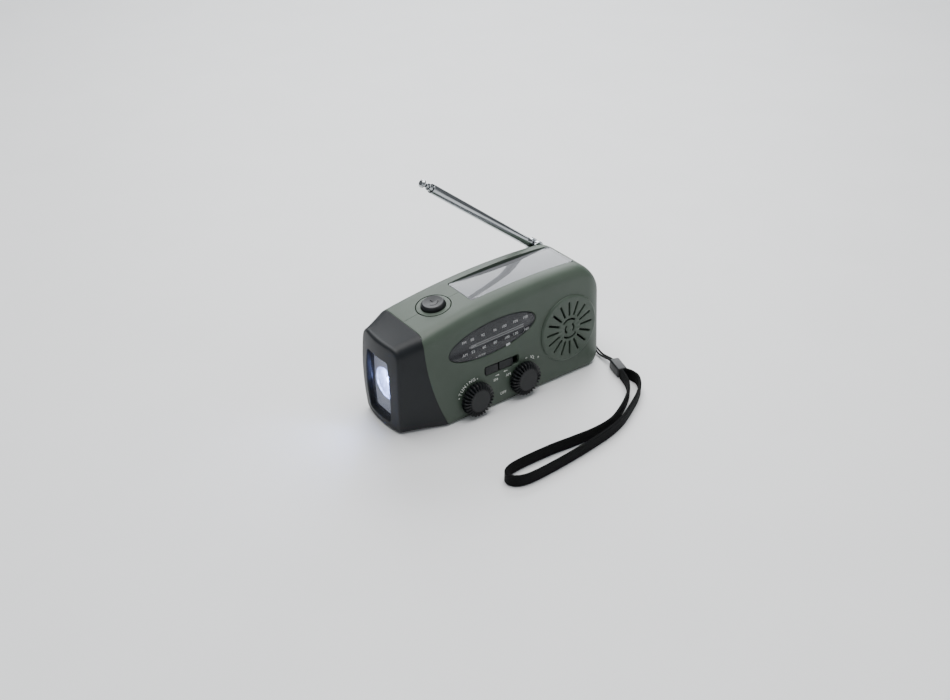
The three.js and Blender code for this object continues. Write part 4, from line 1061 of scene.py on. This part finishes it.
def make_face_print():
    """White words, dots and arrows round the knobs and the switch."""
    h = 0.02
    parts = []
    for k, text in enumerate(".TUNING."):
        angle = 161.4 - k * 11.4
        dot = text == "."
        x = TUNING[0] + 10.55 * cos(radians(angle))
        v = TUNING[1] + 10.55 * sin(radians(angle))
        glyph = lofted(disc(0.34, 12), [(-0.01, 0), (0.02, 0)]) if dot else letters(text, 1.85)
        parts.append(moved(glyph, on_face(x, v, h, angle - 90)))
    for angle, text in ((62, "V"), (56.5, "O"), (51, "L")):
        x = VOLUME[0] + 11.2 * cos(radians(angle))
        v = VOLUME[1] + 11.2 * sin(radians(angle))
        parts.append(moved(letters(text, 1.6), on_face(x, v, h, (angle - 90) * 0.6)))
    parts.append(moved(block(-0.6, 0.6, -0.13, 0.13, -0.01, 0.02), on_face(9.7, 20.6, h)))
    parts.append(moved(block(-0.55, 0.55, -0.13, 0.13, -0.01, 0.02), on_face(17.5, 18.4, h, -20)))
    parts.append(moved(block(-0.13, 0.13, -0.55, 0.55, -0.01, 0.02), on_face(17.5, 18.4, h, -20)))
    for text, x, v in (("FM", -9.9, 15.2), ("AM", -2, 15.3), ("OFF", -5.6, 6.1)):
        parts.append(moved(letters(text, 1.6), on_face(x, v, h)))
    for x, v, turn in ((-8.8, 17.6, 0), (-3.6, 18.1, 180)):
        shaft = block(-1.2, 0.3, -0.12, 0.12, -0.01, 0.02)
        tip = lofted(lambda grow: [(0.3, -0.45), (1.2, 0), (0.3, 0.45)], [(-0.01, 0), (0.02, 0)])
        parts.append(moved(gathered([shaft, tip]), on_face(x, v, h, turn)))
    finish("face_print", gathered(parts), "print")


# ---------- roof ----------
def make_solar_window():
    outline = rounded(SOLAR["length"] - 0.7, SOLAR["width"] - 0.7, 1)
    window = moved(lofted(outline, eased(-1.8, 0, 0.25)), SOLAR_PLACE)
    finish("solar_window_pane", window, "solar_pane", nodes=["solar_window"])


def make_lamp_button():
    hole = LAMP["button"] + 0.3
    rim = LAMP["plate"] - 0.5
    ring = turned_ring([(hole, 0), (hole, -3.2), (10.4, -3.2), (10.4, -2.3), (rim, -2.3), (rim, 0)], 0.2)
    finish("lamp_plate_ring", moved(ring, LAMP_PLACE), "green", nodes=["lamp_plate"])
    r = LAMP["button"]
    stalk = [(0, -4.6), (1.5, -4.6), (1.5, -3.4)]
    dished = [(r, -3.4), (r, 1.3), (r - 0.9, 2.3), (r - 1.7, 2.15), (0, 1.75)]
    cap = turned(stalk + dished, 0.5, 64)
    mark = moved(arc_slot(2.6, radians(200), radians(140), 0.4), Matrix.Translation((0, 0, 7.35)))
    stroke = lofted(rounded(0.4, 2.2, 0.15, y=1.1, steps=2), [(-1, 0), (2, 0)])
    cap = combined(cap, [mark, moved(stroke, Matrix.Translation((0, 0, 2.6)))], "DIFFERENCE")
    finish("lamp_button_cap", moved(cap, LAMP_PLACE), "black", "lamp", ["lamp_button"])


def turned_ring(points, radius, segments=64):
    """A ring of revolution: the profile closes on itself."""
    path = filleted(points + [points[0]], radius)
    count = len(path) - 1

    def place(i, j):
        angle = tau * i / segments
        r, h = path[j % count]
        return Vector((r * cos(angle), r * sin(angle), h))

    ring = sheet(segments, count, place, wrap=True)
    bmesh.ops.recalc_face_normals(ring, faces=ring.faces[:])
    return ring


# ---------- antenna ----------
def mast_place():
    tilt = Matrix.Rotation(radians(ANTENNA["rest"] - 90), 4, "Y")
    return Matrix.Translation((ANTENNA["x"], ANTENNA["y"], ANTENNA["z"])) @ tilt


def make_antenna():
    end = ANTENNA["length"] - 7.6
    r = ANTENNA["r"]
    place = mast_place()
    knuckle = turned([(0, 4.6), (r, 4.6), (r, 9), (0, 9)], 0.3, 40)
    tab = lofted(rounded(4.2, 2.6, 0.3), [(1, 0), (6, 0)])
    eye = moved(lofted(disc(2.1, 40), eased(-1.3, 1.3, 0.2)), Matrix.Rotation(pi / 2, 4, "X"))
    tube = turned_ring([(2.1, 8.8), (r, 8.8), (r, end), (2.1, end)], 0.18, 40)
    outwards = Matrix.Rotation(-pi / 2, 4, "Y")
    rivets = [moved(turned([(0, -0.3), (0.45, -0.3), (0.45, 0.1), (0, 0.18)], 0.1, 20),
                    Matrix.Translation((-r + 0.05, 0, h)) @ outwards) for h in (6.2, 10.4)]
    first = moved(gathered([knuckle, tab, eye, tube, *rivets]), place)
    finish("antenna_tube_1_plated", first, "chrome", "mast", ["antenna_tube_1"])
    second = turned_ring([(1.3, 11), (1.75, 11), (1.75, end + 2.2), (1.3, end + 2.2)], 0.15, 32)
    finish("antenna_tube_2_plated", moved(second, place), "chrome", "mast_2", ["antenna_tube_2"])
    third = turned_ring([(0.72, 12.5), (1.05, 12.5), (1.05, end + 3.8), (0.72, end + 3.8)], 0.1, 28)
    finish("antenna_tube_3_plated", moved(third, place), "chrome", "mast_3", ["antenna_tube_3"])
    thin = [(0, 14), (0.45, 14), (0.45, end + 4.9), (0.9, end + 5.1)]
    cap = [(1.3, end + 5.3), (2.15, end + 5.8), (2.15, end + 6.6), (1.3, end + 7.4), (0, end + 7.6)]
    rod = moved(turned(thin + cap, 0.25, 32), place)
    finish("antenna_rod_plated", rod, "chrome", "mast_tip", ["antenna_rod"])


def make_antenna_base():
    x, y, z = ANTENNA["x"], ANTENNA["y"], ANTENNA["z"]
    across = Matrix.Translation((0, 0, z)) @ Matrix.Rotation(pi / 2, 4, "X")
    post = turned([(0, LUG["high"] + 0.3), (3.6, LUG["high"] + 0.3), (3.6, z + 1), (0, z + 1)], 0.4, 48)
    head = moved(lofted(disc(3.6, 48), eased(-3.5, 3.5, 0.4)), across)
    stem_low, stem_high = LUG["low"] + 0.5, LUG["high"] + 1
    stem = turned([(0, stem_low), (1.3, stem_low), (1.3, stem_high), (0, stem_high)], 0.1, 24)
    body = combined(post, [head, stem], "UNION")
    slot = block(-6, 6, -1.6, 1.6, z - 4, z + 8, 0.2)
    body = combined(body, [slot, moved(lofted(disc(1.1, 24), [(-6, 0), (6, 0)]), across)], "DIFFERENCE")
    at_base = Matrix.Translation((x, y, 0))
    finish("antenna_base_plated", moved(body, at_base), "chrome", "mast_base", ["antenna_base"])
    half_pin = [(0.8, 3.55), (1.4, 3.6), (1.3, 4), (0, 4)]
    pin = turned([(r, -h) for r, h in reversed(half_pin)] + half_pin, 0.15, 32)
    finish("antenna_pin_plated", moved(pin, at_base @ across), "chrome", "mast_base", ["antenna_pin"])


# ---------- crank ----------
def make_crank():
    x, z = CRANK["x"], CRANK["z"]
    h = CRANK["floor"] + 0.3
    place = backwards(x, z)
    hub = lofted(disc(9.2, 72), eased(h, h + 4.2, 0.6))
    bar = lofted(rounded(CRANK["tip"] + 6, 13, 4, x=(CRANK["tip"] - 6) / 2), eased(h, h + 4.4, 0.6))
    slot_start, slot_end = 4, CRANK["hinge"] + 2.9
    middle, length = (slot_start + slot_end) / 2, slot_end - slot_start
    to_top = Matrix.Translation((0, 0, h + 4.4))
    slot = moved(lofted(rounded(length, 8, 0.5, x=middle), flared(8, 0.3)), to_top)
    to_hinge = Matrix.Translation((CRANK["hinge"], 0, h + 3))
    across = to_hinge @ Matrix.Rotation(pi / 2, 4, "X")
    pin_hole = moved(lofted(disc(0.9, 20), [(-5.8, 0), (5.8, 0)]), across)
    dish = moved(lofted(disc(3.4, 40), flared(0.5, 0.3)), Matrix.Translation((-3.2, 0, h + 4.4)))
    arm = combined(hub, [bar], "UNION")
    arm = combined(arm, [slot, pin_hole, dish], "DIFFERENCE")
    finish("crank_arm_moulding", moved(arm, place), "black", "crank", ["crank_arm"])

    along = to_hinge @ Matrix.Rotation(-pi / 2, 4, "Y")
    shaft = moved(lofted(disc(1.1, 24), eased(1.4, 12, 0.15)), along)
    cube = moved(block(-1.8, 1.8, -3.7, 3.7, -1.8, 1.8, 0.25), to_hinge)
    pin = moved(lofted(disc(0.6, 20), eased(-5.6, 5.6, 0.1)), across)
    finish("crank_stem_steel", moved(gathered([shaft, cube, pin]), place), "steel", "stem", ["crank_stem"])

    def grip_place(i, j):
        r, height = profile[j]
        fade = unit((height - 4) / 1.5) * unit((12.6 - height) / 1.5)
        wave = 0.14 * fade * (0.5 - 0.5 * cos(tau * i / 6))
        angle = tau * i / 72
        return Vector(((r - wave) * cos(angle), (r - wave) * sin(angle), height))

    outline = [(1.4, 2.4), (2.5, 2.4), (2.9, 3.4), (3.1, 8), (2.9, 13.3), (2.2, 14), (0, 14)]
    profile = resampled(filleted(outline, 0.4), 40)
    grip = closed(sheet(72, len(profile) - 1, grip_place, wrap=True))
    finish("crank_grip_moulding", moved(moved(grip, along), place), "black", "grip", ["crank_grip"])


# ---------- back and underside trim ----------
def make_port_cover():
    flap = lofted(rounded(28.4, 10.4, 2.2), eased(-1.2, 0, 0.25))
    pull = block(-14.2, -12.8, -3, 3, -0.4, 0.5, 0.2)
    ridges = [block(x - 0.25, x + 0.25, -3.4, 3.4, -0.2, 0.12, 0.1) for x in (-11.4, -10.2, -9.0)]
    cover = moved(gathered([flap, pull, *ridges]), on_back(PORTS["x"], PORTS["z"]))
    finish("port_cover_flap", cover, "rubber", "port_flap", ["port_cover"])


def make_battery_cover():
    lid = rounded(COVER["length"] - 0.6, COVER["width"] - 0.6, 1.2)
    body = lofted(lid, eased(0, 1.7, 0.2))
    grooves = [block(x - 0.35, x + 0.35, -5, 5, -1, 0.4, 0.15) for x in (-25, -23.4, -21.8, -20.2)]
    cut = combined(body, grooves, "DIFFERENCE")
    finish("battery_cover_lid", moved(cut, Matrix.Translation((COVER["x"], COVER["y"], 0))), "green",
           nodes=["battery_cover"])


def make_screws():
    shank = [(0, -8), (1.1, -7), (1.1, 12.3)]
    pan_head = [(2.6, 12.3), (2.6, 13.4), (1.5, 14.2), (0, 14.3)]
    for k, (x, z) in enumerate(SCREWS, 1):
        blank = turned(shank + pan_head, 0.3, 32)
        cross = [block(-1.6, 1.6, -0.3, 0.3, 13.3, 15), block(-0.3, 0.3, -1.6, 1.6, 13.3, 15)]
        screw = moved(combined(blank, cross, "DIFFERENCE"), backwards(x, z))
        finish(f"case_screw_{k}_steel", screw, "steel", nodes=[f"case_screw_{k}"])


# ---------- strap ----------
def smooth_path(points, count):
    """A Catmull-Rom curve through the points, in this many even steps."""
    fine = []
    padded = [2 * points[0] - points[1]] + points + [2 * points[-1] - points[-2]]
    for a, b, c, d in zip(padded, padded[1:], padded[2:], padded[3:]):
        for k in range(12):
            t = k / 12
            fine.append(0.5 * (2 * b + (c - a) * t + (2 * a - 5 * b + 4 * c - d) * t**2
                               + (3 * b - a - 3 * c + d) * t**3))
    fine.append(points[-1])
    return resampled(fine, count)


def swept(path, section, up):
    """A section carried along a path, with a map of millimetres along and round it."""
    last, round_it = len(path) - 1, len(section)
    ahead = [path[min(k + 1, last)] - path[max(k - 1, 0)] for k in range(last + 1)]
    sides = [step.cross(up).normalized() for step in ahead]
    tops = [side.cross(step).normalized() for side, step in zip(sides, ahead)]
    girth = lengths_along([Vector(p) for p in section + section[:1]])
    run = lengths_along(path)
    bm = bmesh.new()
    bmesh.ops.create_grid(bm, x_segments=last, y_segments=round_it, size=1)
    uv = bm.loops.layers.uv.new("tape")
    for face in bm.faces:
        for corner in face.loops:
            i = round((corner.vert.co.x + 1) / 2 * last)
            j = round((corner.vert.co.y + 1) / 2 * round_it)
            corner[uv].uv = (run[i], girth[j])
    for vert in bm.verts:
        i = round((vert.co.x + 1) / 2 * last)
        j = round((vert.co.y + 1) / 2 * round_it) % round_it
        vert.co = path[i] + sides[i] * section[j][0] + tops[i] * section[j][1]
    bmesh.ops.remove_doubles(bm, verts=bm.verts[:], dist=1e-5)
    return closed(bm), run[-1]


def make_strap():
    thread = [Vector(p) for p in CORD_ROUTE]
    path = smooth_path(thread, 200)
    ring = [(CORD_RADIUS * cos(tau * k / 14), CORD_RADIUS * sin(tau * k / 14)) for k in range(14)]
    body, length = swept(path, ring, Vector((0.2, 0.1, 1)))
    cord = finish("strap_cord_thread", body, "cord", nodes=["strap_cord"], sharp=60)

    (x0, y0), (x1, y1) = BEAD["from"], BEAD["to"]
    bead_length = hypot(x1 - x0, y1 - y0) - 0.6
    outline = rounded(bead_length, BEAD["width"], 1.2)
    bead = lofted(outline, eased(0.1, BEAD["height"], 0.8, 4))
    band = rounded(bead_length * 0.55, BEAD["width"] + 0.02, 0.8)
    ridge = lofted(band, eased(1.4, BEAD["height"] - 1.2, 0.4))
    bead_turn = Matrix.Rotation(atan2(y1 - y0, x1 - x0), 4, "Z")
    at_bead = Matrix.Translation(((x0 + x1) / 2, (y0 + y1) / 2, 0)) @ bead_turn
    bead = moved(gathered([bead, ridge]), at_bead)
    bead_piece = finish("strap_bead_moulding", bead, "black", nodes=["strap_bead"])

    middle = WEBBING["width"] / 2 + 0.15
    route = [Vector((x, y, middle)) for x, y in LOOP_ROUTE]
    tape_path = smooth_path(route, 420)
    section = rounded(WEBBING["thick"], WEBBING["width"], 0.6, steps=3)(0)
    tape, tape_length = swept(tape_path, section, Vector((0, 0, 1)))
    loop = finish("strap_loop_tape", tape, "tape", nodes=["strap_loop"], sharp=60)


# ---------- floor ----------
def add_floor():
    bm = bmesh.new()
    bmesh.ops.create_grid(bm, x_segments=1, y_segments=1, size=3)
    mesh = bpy.data.meshes.new("floor")
    bm.to_mesh(mesh)
    bm.free()
    made, tree, shader = new_material("floor_paper", 0.5)
    place = node(tree, "ShaderNodeTexCoord").outputs["Object"]
    mottled(tree, shader, place, (0.8, 0.81, 0.82), 0.01, 60)
    mesh.materials.append(made)
    floor = bpy.data.objects.new("floor", mesh)
    bpy.context.collection.objects.link(floor)
    floor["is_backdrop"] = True


add_camera()
make_strap()
add_studio()
add_floor()
paint_frame()
make_front_shell()
make_back_shell()
make_torch_hood()
make_knob("tuning_knob", on_face(*TUNING), "tuning")
make_knob("volume_knob", on_face(*VOLUME), "volume")
make_band_slider()
make_dial_window()
make_dial_print()
make_face_print()
make_solar_window()
make_lamp_button()
make_antenna()
make_antenna_base()
make_crank()
make_port_cover()
make_battery_cover()
make_screws()


def plain(value):
    return [plain(v) for v in value] if hasattr(value, "__len__") else float(value)


{"cad": plain(cad_bounds), "visual": plain(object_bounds())}
